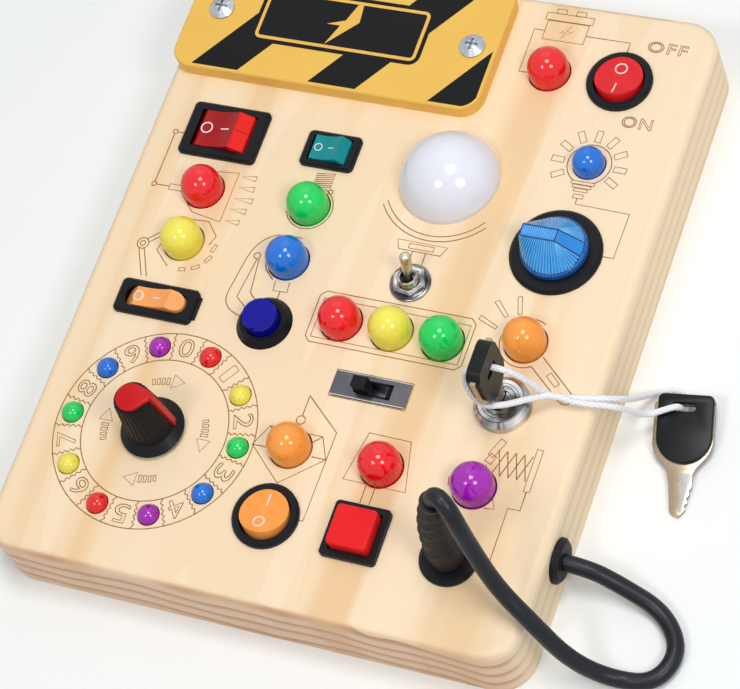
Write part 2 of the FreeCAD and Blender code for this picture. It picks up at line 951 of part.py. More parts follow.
def rocker_frame(kind, corner):
    """The bezel and its housing, with a cavity for the pressed end and a trough for the keel."""
    wide, deep = housing_size(kind)
    window_wide = getattr(s, kind + "_window_wide")
    window_deep = getattr(s, kind + "_window_deep")
    pivot = getattr(s, kind + "_pivot_deep")
    swing, low = rocker_swing(kind)
    under_lip = s.bezel_high - s.bezel_lip
    cavity_deep = pivot - low + s.fit_gap
    trough = s.rocker_keel + (pivot - cavity_deep) * tangent(s.rocker_tilt) + s.fit_gap
    frame = new_body("frame")
    bezel = sketch_on(frame, "XY_Plane")
    rounded(bezel, 0, 0, getattr(s, kind + "_bezel_wide"), getattr(s, kind + "_bezel_deep"), s.bezel_corner)
    plate = pad(frame, bezel, s.bezel_high)
    soften(frame, "Chamfer", plate, at_height(s.bezel_high), s.bezel_edge)
    housing = sketch_on(frame, "XY_Plane")
    box(housing, 0, 0, wide, deep)
    pad(frame, housing, s.housing_deep, down=True)
    window = sketch_on(frame, "XY_Plane", s.bezel_high)
    rounded(window, 0, 0, window_wide, window_deep, corner)
    pocket(frame, window, s.bezel_high + cavity_deep)
    cavity = sketch_on(frame, "XY_Plane", under_lip)
    box(cavity, 0, 0, 2 * (swing + s.fit_gap), window_deep)
    pocket(frame, cavity, under_lip + cavity_deep)
    seat = sketch_on(frame, "XY_Plane")
    box(seat, 0, 0, 2 * trough, window_deep)
    pocket(frame, seat, pivot + s.rocker_keel + s.shaft_gap)
    return frame


def rocker(name, kind, corner):
    """A rectangular rocker switch that tips about an axis across its length."""
    x, y = spot(name)
    frame = rocker_frame(kind, corner)
    place(frame, x, y, TOP)
    node(name + "_frame", frame)

    paddle = new_body("paddle")
    reach = getattr(s, kind + "_window_wide") / 2 - s.fit_gap
    deep = getattr(s, kind + "_window_deep") - 2 * s.fit_gap
    rocker_profile(paddle, kind, reach, deep)
    long = 2 * (reach + getattr(s, kind + "_end_out"))
    trim_outside(paddle, lambda sketch: rounded(sketch, 0, 0, long, deep, corner - s.fit_gap))
    rest = FreeCAD.Rotation(Y_AXIS, -s.rocker_tilt.value)
    place(paddle, x, y, TOP - getattr(s, kind + "_pivot_deep"), rest)
    node(name, paddle)


def trim_outside(body, draw):
    """Cuts away all of the body outside the drawn plan outline."""
    sketch = sketch_on(body, "XY_Plane")
    box(sketch, 0, 0, s.board_wide, s.board_wide)
    draw(sketch)
    pocket(body, sketch, s.board_wide, middle=True)


def round_rocker(name):
    """A round rocker switch that tips about the X axis."""
    x, y = spot(name)
    window = s.round_window_radius
    under_lip = s.bezel_high - s.bezel_lip
    frame = turned("frame", [
        (0, -s.housing_deep),
        (s.round_housing_radius, -s.housing_deep),
        (s.round_housing_radius, 0),
        (s.round_bezel_radius, 0),
        (s.round_bezel_radius, s.bezel_high - s.bezel_edge),
        (s.round_bezel_radius - s.bezel_edge, s.bezel_high),
        (window, s.bezel_high),
        (window, under_lip),
        (window + s.round_swing_room, under_lip),
        (window + s.round_swing_room, -s.round_cavity_deep),
        (0, -s.round_cavity_deep),
    ], x, y, TOP)
    node(name + "_frame", frame)
    reach = window - s.round_swing_gap
    paddle = new_body("paddle")
    profile = sketch_on(paddle, "XZ_Plane")
    dish = (reach * reach + s.rocker_dish * s.rocker_dish) / (2 * s.rocker_dish)
    outline(profile, [
        (-reach, -s.round_low),
        (reach, -s.round_low),
        (reach, s.round_crown),
        (-reach, s.round_crown, -dish),
    ])
    pad(paddle, profile, 2 * reach, middle=True)
    trim_outside(paddle, lambda sketch: circle(sketch, 0, 0, reach))
    lean = FreeCAD.Rotation(Z_AXIS, -90) * FreeCAD.Rotation(Y_AXIS, -s.rocker_tilt.value)
    place(paddle, x, y, TOP + s.round_pivot_high, lean)
    node(name, paddle)


def push_buttons():
    """A round and a square push button, each a cap that slides in a bezel."""
    x, y = spot("blue_button")
    bore = s.button_radius + s.fit_gap
    depth = s.button_stem + s.button_travel + s.fit_gap
    node("blue_button_frame", turned("frame", [
        (0, -s.housing_deep),
        (bore + s.housing_wall, -s.housing_deep),
        (bore + s.housing_wall, 0),
        (s.button_bezel_radius, 0),
        (s.button_bezel_top, s.button_bezel_high),
        (bore, s.button_bezel_high),
        (bore, -depth),
        (0, -depth),
    ], x, y, TOP))
    node("blue_button", turned("cap", [
        (0, -s.button_stem),
        (s.button_radius, -s.button_stem),
        (s.button_radius, s.button_rise - s.button_edge),
        (s.button_radius - s.button_edge, s.button_rise),
        (0, s.button_rise),
    ], x, y, TOP))

    x, y = spot("square_button")
    middle = 0
    bore = s.square_button_wide + 2 * s.fit_gap
    frame = new_body("frame")
    bezel = sketch_on(frame, "XY_Plane")
    rounded(bezel, middle, middle, s.square_bezel_wide, s.square_bezel_wide, s.square_corner)
    pad(frame, bezel, s.square_bezel_high)
    housing = sketch_on(frame, "XY_Plane")
    box(housing, middle, middle, bore + 2 * s.housing_wall, bore + 2 * s.housing_wall)
    pad(frame, housing, s.housing_deep, down=True)
    window = sketch_on(frame, "XY_Plane", s.square_bezel_high)
    box(window, middle, middle, bore, bore)
    pocket(frame, window, s.square_bezel_high + depth)
    place(frame, x, y, TOP)
    node("square_button_frame", frame)
    cap = new_body("cap")
    top = sketch_on(cap, "XY_Plane", -s.button_stem)
    rounded(top, middle, middle, s.square_button_wide, s.square_button_wide, s.square_corner)
    block = pad(cap, top, s.button_stem + s.square_button_rise)
    soften(cap, "Fillet", block, at_height(s.square_button_rise), s.button_edge)
    place(cap, x, y, TOP)
    node("square_button", cap)


def slide_switch():
    """A slide switch under a steel plate, its knob at the left end of the slot."""
    x, y = spot("slide")
    middle = 0
    slot_wide = s.slide_knob_wide + s.slide_travel + 2 * s.fit_gap
    frame = new_body("frame")
    plate = sketch_on(frame, "XY_Plane")
    rounded(plate, middle, middle, s.slide_plate_wide, s.slide_plate_deep, s.slide_plate_corner)
    pad(frame, plate, s.slide_plate_thick)
    housing = sketch_on(frame, "XY_Plane")
    box(housing, middle, middle, s.slide_body_wide, s.slide_plate_deep - 4 * s.fit_gap)
    pad(frame, housing, s.slide_body_high, down=True)
    slot = sketch_on(frame, "XY_Plane", s.slide_plate_thick)
    box(slot, middle, middle, slot_wide, s.slide_slot_deep)
    pocket(frame, slot, s.slide_plate_thick + s.button_stem + s.fit_gap)
    place(frame, x, y, TOP)
    node("slide_frame", frame)
    knob = new_body("knob")
    block = sketch_on(knob, "XY_Plane", -s.button_stem)
    box(block, middle, middle, s.slide_knob_wide, s.slide_knob_deep)
    shape = pad(knob, block, s.button_stem + s.slide_knob_rise)
    soften(knob, "Fillet", shape, at_height(s.slide_knob_rise), s.button_edge)
    place(knob, x - s.slide_travel / 2, y, TOP)
    node("slide_knob", knob)


def toggle():
    """A bat-handle toggle, its threaded bush held by a hexagon nut over a washer."""
    x, y = spot("toggle")
    pivot = s.toggle_pivot_high
    room = s.toggle_ball + s.fit_gap
    frame = turned("frame", [
        (0, UNDER),
        (s.toggle_bush_radius, UNDER),
        (s.toggle_bush_radius, 0),
        (s.toggle_washer_radius, 0),
        (s.toggle_washer_radius, s.toggle_washer_thick),
        (s.toggle_bush_radius, s.toggle_washer_thick),
        (s.toggle_bush_radius, s.toggle_bush_rise),
        (s.toggle_mouth, s.toggle_bush_rise),
        (room, pivot),
        (room, pivot - room),
        (0, pivot - room),
    ], x, y, TOP)
    nut = sketch_on(frame, "XY_Plane", s.toggle_washer_thick)
    corner = s.toggle_nut_across / math.sqrt(3)
    outline(nut, [
        (corner * cosine(as_size(60 * k)), corner * sine(as_size(60 * k)))
        for k in range(6)
    ])
    circle(nut, 0, 0, s.toggle_bush_radius - s.fit_gap)
    pad(frame, nut, s.toggle_nut_thick)
    body = sketch_on(frame, "XY_Plane", UNDER)
    box(body, 0, 0, s.toggle_body_wide, s.toggle_body_deep)
    pad(frame, body, s.toggle_body_high, down=True)
    node("toggle_frame", frame)
    lean = s.toggle_ball * s.toggle_ball - s.toggle_lever_foot * s.toggle_lever_foot
    tip = s.toggle_lever_long
    round_tip = s.toggle_lever_tip
    node("toggle_lever", turned("lever", [
        (0, -s.toggle_ball),
        (s.toggle_lever_foot, root(lean), s.toggle_ball),
        (round_tip, tip - round_tip),
        (0, tip, round_tip),
    ], x, y, TOP + pivot, FreeCAD.Rotation(X_AXIS, -s.toggle_tilt.value)))


def key_slot(sketch):
    """The slot for the string, across the key's head."""
    half = s.key_slot_wide / 2
    end = s.key_slot_deep / 2
    up = s.key_slot_up
    outline(sketch, [
        (half - end, up - end),
        (half - end, up + end, end),
        (end - half, up + end),
        (end - half, up - end, end),
    ])


def key_head(label, x, y, z, rotation):
    """The plastic grip: round at its lower end, square at the top, slotted to take the plate."""
    body = new_body("head")
    radius = s.key_head_wide / 2 - s.key_rim
    centre = s.key_round_centre + s.key_chin - s.key_rim
    corner = s.key_head_corner
    long = s.key_head_long
    plan = sketch_on(body, "XZ_Plane")
    outline(plan, [
        (-radius, centre),
        (radius, centre, radius),
        (radius, long - corner),
        (radius - corner, long, corner),
        (corner - radius, long),
        (-radius, long - corner, corner),
    ])
    key_slot(plan)
    pad(body, plan, s.key_head_thick, middle=True)
    seat = sketch_on(body, "XZ_Plane")
    box(seat, 0, s.key_plate_long / 2, s.key_head_wide, s.key_plate_long)
    pocket(body, seat, s.key_blade_thick, middle=True)
    place(body, x, y, z, rotation)
    node(label, body)


def key_blade(label, x, y, z, rotation):
    """The steel key: a wide plate under the grip, a neck, and a blade cut with teeth."""
    body = new_body("blade")
    half = s.key_blade_wide / 2
    long = s.key_blade_in
    pitch = long / 6
    teeth = []
    for k in range(4):
        teeth.append((half, (k + 0.6) * pitch - long))
        teeth.append((half - s.key_tooth * (0.6 + 0.4 * (k % 2)), (k + 1.1) * pitch - long))
    radius = s.key_head_wide / 2
    neck = s.key_neck_wide / 2
    chin = s.key_round_centre - root(radius * radius - neck * neck)
    plan = sketch_on(body, "XZ_Plane")
    outline(plan, [(-half, 0), (-half, s.key_tip - long), (half - s.key_tip, -long)] + teeth + [
        (half, -pitch),
        (half, 0),
        (neck, 0),
        (neck, chin),
        (radius, s.key_round_centre, radius),
        (radius, s.key_plate_long),
        (-radius, s.key_plate_long),
        (-radius, s.key_round_centre),
        (-neck, chin, radius),
        (-neck, 0),
    ])
    key_slot(plan)
    pad(body, plan, s.key_blade_thick, middle=True)
    place(body, x, y, z, rotation)
    node(label, body)


def lock_and_keys():
    """A cylinder lock with its key in, and a spare key on the same string."""
    x, y = spot("lock")
    bore = s.lock_plug_radius + s.shaft_gap
    node("lock_housing", turned("housing", [
        (bore, UNDER - s.lock_nut_thick - s.fit_gap),
        (s.lock_nut_radius, UNDER - s.lock_nut_thick - s.fit_gap),
        (s.lock_nut_radius, UNDER),
        (s.lock_barrel_radius, UNDER),
        (s.lock_barrel_radius, 0),
        (s.lock_bezel_radius, 0),
        (s.lock_bezel_radius, s.lock_bezel_high),
        (s.lock_nose_radius, s.lock_nose_high),
        (bore, s.lock_nose_high),
    ], x, y, TOP))
    plug = turned("plug", [
        (0, s.lock_nose_high - s.lock_plug_long),
        (s.lock_plug_radius, s.lock_nose_high - s.lock_plug_long),
        (s.lock_plug_radius, s.lock_nose_high),
        (0, s.lock_nose_high),
    ], x, y, TOP)
    way = sketch_on(plug, "XY_Plane", s.lock_nose_high)
    play = 2 * s.key_play
    box(way, 0, 0, s.key_blade_thick + play, s.key_blade_wide + play)
    pocket(plug, way, s.lock_plug_long + OVER)
    node("lock_plug", plug)
    upright = FreeCAD.Rotation(Z_AXIS, 90)
    shoulder = TOP + s.key_shoulder_high
    key_head("key_head", x, y, shoulder, upright)
    key_blade("key_blade", x, y, shoulder, upright)
    lean = s.spare_key_lean
    lying = FreeCAD.Rotation(Z_AXIS, s.spare_key_turn.value) * FreeCAD.Rotation(X_AXIS, lean.value - 90)
    down_x = s.key_head_long * cosine(lean) * sine(s.spare_key_turn)
    down_y = s.key_head_long * cosine(lean) * cosine(s.spare_key_turn)
    x, y = spot("spare_key")
    rest = s.key_blade_thick / 2 * cosine(lean) + s.key_blade_in * sine(lean)
    key_head("spare_key_head", x + down_x, y - down_y, rest, lying)
    key_blade("spare_key_blade", x + down_x, y - down_y, rest, lying)


def selector():
    """A ten-way selector: a tapered knob with a red cap on the switch's shaft."""
    x, y = spot("selector")
    node("selector_switch", turned("switch", [
        (0, UNDER - s.selector_body_high),
        (s.selector_body_radius, UNDER - s.selector_body_high),
        (s.selector_body_radius, UNDER),
        (s.selector_bush, UNDER),
        (s.selector_bush, s.selector_bush_rise),
        (s.selector_shaft, s.selector_bush_rise),
        (s.selector_shaft, s.selector_shaft_rise),
        (0, s.selector_shaft_rise),
    ], x, y, TOP))
    bore = s.selector_shaft + s.shaft_gap
    turn = FreeCAD.Rotation(Z_AXIS, s.selector_digit_angle.value)
    knob = turned("knob", [
        (bore, s.selector_skirt_low),
        (s.selector_skirt, s.selector_skirt_low),
        (s.selector_waist, s.selector_skirt_high),
        (s.selector_top, s.selector_rise),
        (0, s.selector_rise),
        (0, s.selector_shaft_rise + s.fit_gap),
        (bore, s.selector_shaft_rise + s.fit_gap),
    ], x, y, TOP, turn)
    slot = sketch_on(knob, "XZ_Plane")
    selector_band(slot, s.selector_band_in, s.selector_skirt)
    pocket(knob, slot, s.selector_band_wide + 2 * s.shaft_gap, middle=True)
    node("selector_knob", knob)
    cap = turned("cap", [
        (0, s.selector_rise),
        (s.selector_cap_radius, s.selector_rise),
        (s.selector_cap_radius, s.selector_rise + s.selector_cap_thick / 2),
        (s.selector_cap_radius - s.selector_cap_thick / 2, s.selector_rise + s.selector_cap_thick),
        (0, s.selector_rise + s.selector_cap_thick),
    ], x, y, TOP, turn)
    band = sketch_on(cap, "XZ_Plane")
    selector_band(band, s.selector_band_in + s.shaft_gap, s.selector_band_foot)
    pad(cap, band, s.selector_band_wide, middle=True)
    node("selector_cap", cap)


def selector_band(sketch, inner, foot):
    """The upright pointer that runs from the cap down to the skirt."""
    outline(sketch, [
        (inner, s.selector_band_low),
        (foot, s.selector_band_low),
        (s.selector_band_top, s.selector_rise + s.selector_cap_thick),
        (inner, s.selector_rise + s.selector_cap_thick),
    ])


def rotary():
    """A rotary switch with a clear finned knob over a flat black bezel."""
    x, y = spot("rotary")
    bush = s.rotary_shaft + s.housing_wall
    node("rotary_switch", turned("switch", [
        (0, UNDER - s.selector_body_high),
        (s.selector_body_radius, UNDER - s.selector_body_high),
        (s.selector_body_radius, UNDER),
        (bush, UNDER),
        (bush, 0),
        (s.rotary_bezel_radius, 0),
        (s.rotary_bezel_radius, s.rotary_bezel_high / 2),
        (s.rotary_bezel_radius - s.rotary_bezel_high / 2, s.rotary_bezel_high),
        (s.rotary_shaft, s.rotary_bezel_high),
        (s.rotary_shaft, s.rotary_shaft_rise),
        (0, s.rotary_shaft_rise),
    ], x, y, TOP))
    bore = s.rotary_shaft + s.shaft_gap
    roof = s.rotary_shaft_rise + s.fit_gap
    knob = new_body("knob")
    fin = sketch_on(knob, "XZ_Plane")
    edge = root(s.rotary_knob_radius * s.rotary_knob_radius - s.rotary_fin_deep * s.rotary_fin_deep / 4)
    outline(fin, [
        (-edge, s.rotary_knob_foot),
        (edge, s.rotary_knob_foot),
        (edge, s.rotary_base_high),
        (s.rotary_fin_flat, s.rotary_fin_rise),
        (-s.rotary_fin_back, s.rotary_fin_rise),
        (-edge, s.rotary_base_high),
    ])
    pad(knob, fin, s.rotary_fin_deep, middle=True)
    revolve(knob, [
        (bore, s.rotary_knob_foot),
        (s.rotary_knob_radius, s.rotary_knob_foot),
        (s.rotary_knob_radius, s.rotary_base_high - OVER),
        (s.rotary_knob_radius - OVER, s.rotary_base_high),
        (s.rotary_shaft + 2 * s.housing_wall, roof + s.housing_wall),
        (0, roof + s.housing_wall),
        (0, roof),
        (bore, roof),
    ])
    revolve(knob, [
        (0, s.rotary_knob_foot),
        (bore, s.rotary_knob_foot),
        (bore, roof),
        (0, roof),
    ], cut=True)
    place(knob, x, y, TOP)
    node("rotary_knob", knob)


def boot_centre(height):
    """The strain relief leaves the grip straight and bends further towards its end."""
    span = s.boot_rise - s.plug_grip_high
    part = (height - s.plug_grip_high) / span
    return part * part * s.boot_bend_x, part * part * s.boot_bend_y


def boot():
    """A ribbed strain relief: round sections lofted along its bent axis."""
    x, y = spot("jack")
    count = int(s.boot_ribs.value)
    pitch = (s.boot_rise - s.plug_grip_high) / (2 * count)
    sections = []
    for step in range(2 * count + 1):
        height = s.plug_grip_high + step * pitch
        share = step / (2 * count)
        full = s.boot_foot_radius + share * (s.boot_top_radius - s.boot_foot_radius)
        radius = full if step % 2 == 0 else full - s.boot_groove
        aside_x, aside_y = boot_centre(height)
        ring = DOC.addObject("Part::Circle", "boot_ring")
        ring.setExpression("Radius", radius.text)
        span = (s.boot_rise - s.plug_grip_high).value
        slope_x = 2 * share * s.boot_bend_x.value / span
        slope_y = 2 * share * s.boot_bend_y.value / span
        lean = FreeCAD.Rotation(Z_AXIS, FreeCAD.Vector(slope_x, slope_y, 1))
        place(ring, x + aside_x, y + aside_y, TOP + height, lean)
        sections.append(ring)
    loft = DOC.addObject("Part::Loft", "boot")
    loft.Sections = sections
    loft.Solid = True
    loft.Ruled = True
    return loft


def jack_and_plug():
    x, y = spot("jack")
    bore = s.pin_radius + s.shaft_gap
    node("jack_socket", turned("jack", [
        (bore, s.jack_flange_high - s.jack_long),
        (s.jack_barrel_radius, s.jack_flange_high - s.jack_long),
        (s.jack_barrel_radius, 0),
        (s.jack_flange_radius, 0),
        (s.jack_flange_radius, s.jack_flange_high / 2),
        (s.jack_flange_radius - s.jack_flange_high / 2, s.jack_flange_high),
        (bore, s.jack_flange_high),
    ], x, y, TOP))
    node("plug_pin", turned("pin", [
        (0, s.jack_flange_high - s.pin_long),
        (s.pin_radius - s.plug_edge, s.jack_flange_high - s.pin_long),
        (s.pin_radius, s.jack_flange_high - s.pin_long + s.plug_edge),
        (s.pin_radius, s.jack_flange_high + s.fit_gap),
        (0, s.jack_flange_high + s.fit_gap),
    ], x, y, TOP))
    grip = turned("grip", [
        (0, s.jack_flange_high + s.fit_gap),
        (s.plug_grip_radius, s.jack_flange_high + s.fit_gap),
        (s.plug_grip_radius, s.plug_grip_high - s.plug_edge),
        (s.plug_grip_radius - s.plug_edge, s.plug_grip_high),
        (0, s.plug_grip_high),
    ], x, y, TOP)
    plug = DOC.addObject("Part::MultiFuse", "plug_body")
    plug.Shapes = [grip, boot()]
    node("plug_grip", plug)


def grommet():
    bore = s.cable_radius + s.shaft_gap
    node("grommet", turned("grommet", [
        (bore, -s.wall_thick),
        (s.grommet_neck, -s.wall_thick),
        (s.grommet_neck, 0),
        (s.grommet_flange, 0),
        (s.grommet_flange, s.grommet_proud / 2),
        (s.grommet_flange - s.grommet_proud / 2, s.grommet_proud),
        (bore, s.grommet_proud),
    ], s.board_wide / 2, -s.grommet_along, s.grommet_up, FreeCAD.Rotation(Y_AXIS, 90)))


def route_path(points):
    """Straight runs joined by tangent arcs, each arc as large as its two runs allow."""
    edges = []
    radii = []
    here = points[0]
    length = 0
    for i in range(1, len(points) - 1):
        before = points[i - 1] - points[i]
        after = points[i + 1] - points[i]
        run = min(before.Length, after.Length)
        cut = 0.45 * run
        turn = math.pi - before.getAngle(after)
        radii.append(cut / math.tan(turn / 2))
        start = points[i] + before.normalize() * cut
        end = points[i] + after.normalize() * cut
        inward = (before + after).normalize()
        centre_far = math.hypot(cut, radii[-1])
        middle = points[i] + inward * (centre_far - radii[-1])
        edges.append(Part.LineSegment(here, start).toShape())
        edges.append(Part.Arc(start, middle, end).toShape())
        here = end
    edges.append(Part.LineSegment(here, points[-1]).toShape())
    return Part.Wire(edges), radii


def cord(label, points, radius):
    """A round cord swept along its route."""
    wire, radii = route_path([FreeCAD.Vector(*point) for point in points])
    start = wire.Edges[0].valueAt(wire.Edges[0].FirstParameter)
    heading = wire.Edges[0].tangentAt(wire.Edges[0].FirstParameter)
    section = Part.Wire(Part.Circle(start, heading, radius.value).toShape())
    tube = wire.makePipeShell([section], True, False)
    expected = math.pi * radius.value ** 2 * wire.Length
    print(label, "length", round(wire.Length, 1), "volume over section times length",
          round(tube.Volume / expected, 4), "least radius", round(min(radii), 1))
    print("  radii", [round(r, 1) for r in radii])
    thing = DOC.addObject("Part::Feature", "cord_" + label)
    thing.Shape = tube
    node(label, thing)


def cable():
    """The lead folds over above the plug, falls to the ground and comes back to the side."""
    x, y = spot("jack")
    span = (s.boot_rise - s.plug_grip_high).value
    boot_x = (x + s.boot_bend_x).value
    boot_y = (y + s.boot_bend_y).value
    boot_z = (TOP + s.boot_rise).value
    first = 7
    face = (s.board_wide / 2).value
    along = -s.grommet_along.value
    up = s.grommet_up.value
    cord("cable", [
        (boot_x, boot_y, boot_z),
        (boot_x + 2 * s.boot_bend_x.value / span * first,
         boot_y + 2 * s.boot_bend_y.value / span * first, boot_z + first),
        (80.5, -93.5, 79.5),
        (85.5, -98.5, 62),
        (93, -104.5, 44),
        (104.5, -110, 33.5),
        (114.5, -113.5, 16),
        (126, -112.6, 3.1),
        (141, -111, 3),
        (146, -98, 3),
        (137, -86, 3.1),
        (122, -82, 8),
        (face + 10, along, up),
        (face - 6, along, up),
    ], s.cable_radius)


def string():
    """One braided cord looped through the slots of both keys, the spare lying on the ground."""
    cord("key_string", [
        (68.2, -34.6, 56.5),
        (73.6, -34.4, 56.5),
        (78.6, -33.0, 50),
        (81.6, -31.8, 41),
        (86.0, -30.2, 31.2),
        (96.4, -27.6, 30.3),
        (105.8, -23.8, 26.0),
        (106.0, -15.8, 10.0),
        (110.0, -8.0, 1.4),
        (116.4, -5.2, 1.3),
        (121.0, -7.6, 1.2),
        (121.9, -13.8, 1.2),
        (122.1, -14.9, 10.0),
        (118.2, -17.2, 10.4),
        (112.0, -20.6, 9.6),
        (108.8, -23.8, 18),
        (105.8, -28.4, 29.6),
        (94.0, -30.8, 31.6),
        (86.4, -30.4, 34.2),
        (80.4, -34.8, 37.6),
        (74.0, -40.6, 41.2),
        (66.6, -43.0, 42.2),
        (61.0, -39.6, 46.4),
        (61.4, -37.1, 55.0),
        (66.0, -37.0, 56.5),
        (69.6, -37.0, 56.5),
    ], s.string_radius)


def main():
    wood_board()
    back_panel()
    screws()
    battery_parts()
    lamps()
    rocker("red_rocker", "wide", s.window_corner)
    rocker("teal_rocker", "small", s.window_corner)
    rocker("orange_rocker", "slim", s.slim_window_deep / 2 - s.fit_gap)
    round_rocker("red_round")
    round_rocker("orange_round")
    push_buttons()
    slide_switch()
    toggle()
    lock_and_keys()
    selector()
    rotary()
    jack_and_plug()
    grommet()
    cable()
    string()
    DOC.recompute()
    for thing in DOC.Objects:
        if "Invalid" in thing.State or "Error" in thing.State:
            raise RuntimeError(f"{thing.Name} {thing.Label} failed: {thing.State}")
    os.makedirs("parts", exist_ok=True)
    for thing in NODES:
        if thing.Shape.isNull() or not thing.Shape.isValid():
            raise RuntimeError(f"{thing.Label} has no valid shape")
        thing.Shape.exportStep(f"parts/{thing.Label}.step")
    print(len(NODES), "sub-parts")


main()
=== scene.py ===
import math

import bmesh
import bpy
from mathutils import Matrix, Vector
from mathutils.bvhtree import BVHTree


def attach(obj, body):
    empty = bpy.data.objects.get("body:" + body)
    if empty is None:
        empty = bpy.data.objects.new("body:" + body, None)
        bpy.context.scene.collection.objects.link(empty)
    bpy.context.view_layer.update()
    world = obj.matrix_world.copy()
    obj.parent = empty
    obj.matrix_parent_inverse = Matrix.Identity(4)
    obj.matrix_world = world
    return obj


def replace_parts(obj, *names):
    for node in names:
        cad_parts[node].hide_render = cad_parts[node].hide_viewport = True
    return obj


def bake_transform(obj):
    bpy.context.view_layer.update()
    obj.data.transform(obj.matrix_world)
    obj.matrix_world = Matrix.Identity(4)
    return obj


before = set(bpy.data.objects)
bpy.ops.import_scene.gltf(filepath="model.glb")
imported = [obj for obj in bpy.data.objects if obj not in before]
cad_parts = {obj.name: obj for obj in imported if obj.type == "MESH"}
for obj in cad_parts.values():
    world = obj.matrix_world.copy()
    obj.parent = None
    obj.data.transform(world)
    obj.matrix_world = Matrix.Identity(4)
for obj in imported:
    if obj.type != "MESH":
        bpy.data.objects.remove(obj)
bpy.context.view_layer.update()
mm = 0.001

# The ground and the light: a pale sweep under three round soft boxes that stand about the camera,
# with a wide panel behind the board. The camera looks down at the board past its lower right corner.


def stand(name, data):
    """A new object of the data, linked into the scene."""
    thing = bpy.data.objects.new(name, data)
    bpy.context.scene.collection.objects.link(thing)
    return thing


def add_node(tree, kind, sockets=None, **settings):
    """A shader node with its settings. Each socket takes a value or another node's output."""
    node = tree.nodes.new("ShaderNode" + kind)
    for setting, value in settings.items():
        setattr(node, setting, value)
    for socket, value in (sockets or {}).items():
        if isinstance(value, bpy.types.NodeSocket):
            tree.links.new(value, node.inputs[socket])
        else:
            node.inputs[socket].default_value = value
    return node


def node_math(tree, kind, a, b=0.0):
    """The result of one step of arithmetic on values or outputs."""
    return add_node(tree, "Math", {0: a, 1: b}, operation=kind).outputs[0]


def ramp(tree, value, low, high, least=0.0, most=1.0, kind="LINEAR"):
    """A value brought from one range to another."""
    sockets = {"Value": value, "From Min": low, "From Max": high, "To Min": least, "To Max": most}
    return add_node(tree, "MapRange", sockets, interpolation_type=kind).outputs[0]


def new_material(name, **sockets):
    """A material with values on its shader's sockets, whose names have _ for each space."""
    material = bpy.data.materials.new(name)
    material.use_nodes = True
    bsdf = material.node_tree.nodes["Principled BSDF"]
    for socket, value in sockets.items():
        bsdf.inputs[socket.replace("_", " ")].default_value = value
    return material


stage_white = new_material("stage_white", Base_Color=(0.93, 0.95, 0.95, 1), Roughness=0.9, Specular_IOR_Level=0.1)
floor_half = 4
floor_mesh = bmesh.new()
bmesh.ops.create_grid(floor_mesh, x_segments=2, y_segments=2, size=floor_half)
floor_data = bpy.data.meshes.new("ground")
floor_mesh.to_mesh(floor_data)
floor_data.materials.append(stage_white)
floor = stand("ground", floor_data)

camera_place = Vector((0.39847, -0.39947, 0.89707))
camera_right = Vector((0.90913604, 0.32455836, -0.26102402))
camera_down = Vector((0.17976345, -0.87110071, -0.45702149))
camera_ahead = Vector((-0.37570836, 0.36857213, -0.85029278))
camera_data = bpy.data.cameras.new("camera")
camera_data.sensor_width = 36
camera_data.lens = 143.46
camera = stand("camera", camera_data)
turn = Matrix((camera_right, -camera_down, -camera_ahead)).transposed()
camera.matrix_world = Matrix.Translation(camera_place) @ turn.to_4x4()
bpy.context.scene.camera = camera


def soft_box(name, place, size, power):
    """A round lamp that looks at the board."""
    data = bpy.data.lights.new(name, "AREA")
    data.shape = "DISK"
    data.size = size
    data.energy = power
    lamp = stand(name, data)
    lamp.location = place
    lamp.rotation_euler = Vector(place).to_track_quat("Z", "Y").to_euler()


box_far = 1.4
for name, across, up, size, power in (
    ("box_above", -0.08, 0.56, 0.48, 6.6),
    ("box_right", 0.3, 0.02, 0.42, 5.1),
    ("box_left", -0.58, -0.02, 0.34, 3.3),
):
    direction = (-camera_ahead + camera_right * across - camera_down * up).normalized()
    soft_box(name, direction * box_far, size, power)
soft_box("panel", Vector((-0.3, 1.3, 1.5)), 1.6, 4.0)

world = bpy.data.worlds.new("world")
bpy.context.scene.world = world
world.use_nodes = True
sky = world.node_tree
sky_path = add_node(sky, "LightPath").outputs
sky_seen = node_math(sky, "MAXIMUM", sky_path["Is Camera Ray"], sky_path["Is Glossy Ray"])
sky_clear = node_math(sky, "MAXIMUM", sky_seen, sky_path["Is Transmission Ray"])
sky_back = sky.nodes["Background"]
sky_back.inputs["Color"].default_value = (0.98, 1.0, 1.0, 1)
sky.links.new(ramp(sky, sky_clear, 0, 1, least=0.28), sky_back.inputs["Strength"])
bpy.context.scene.view_settings.view_transform = "Standard"

# The jack lead: a round rubber cable that leaves the plug's strain relief, arches over the corner
# of the board, lies on the table and goes back through the grommet in the board's right side.


def paint(red, green, blue):
    """A colour named by its levels of 0 to 255, as the shader takes it."""
    return tuple(((level / 255 + 0.055) / 1.055) ** 2.4 for level in (red, green, blue)) + (1,)


def mix_tones(tree, share, a, b):
    """Two colours mixed by a share."""
    return add_node(tree, "Mix", {0: share, 6: a, 7: b}, data_type="RGBA")


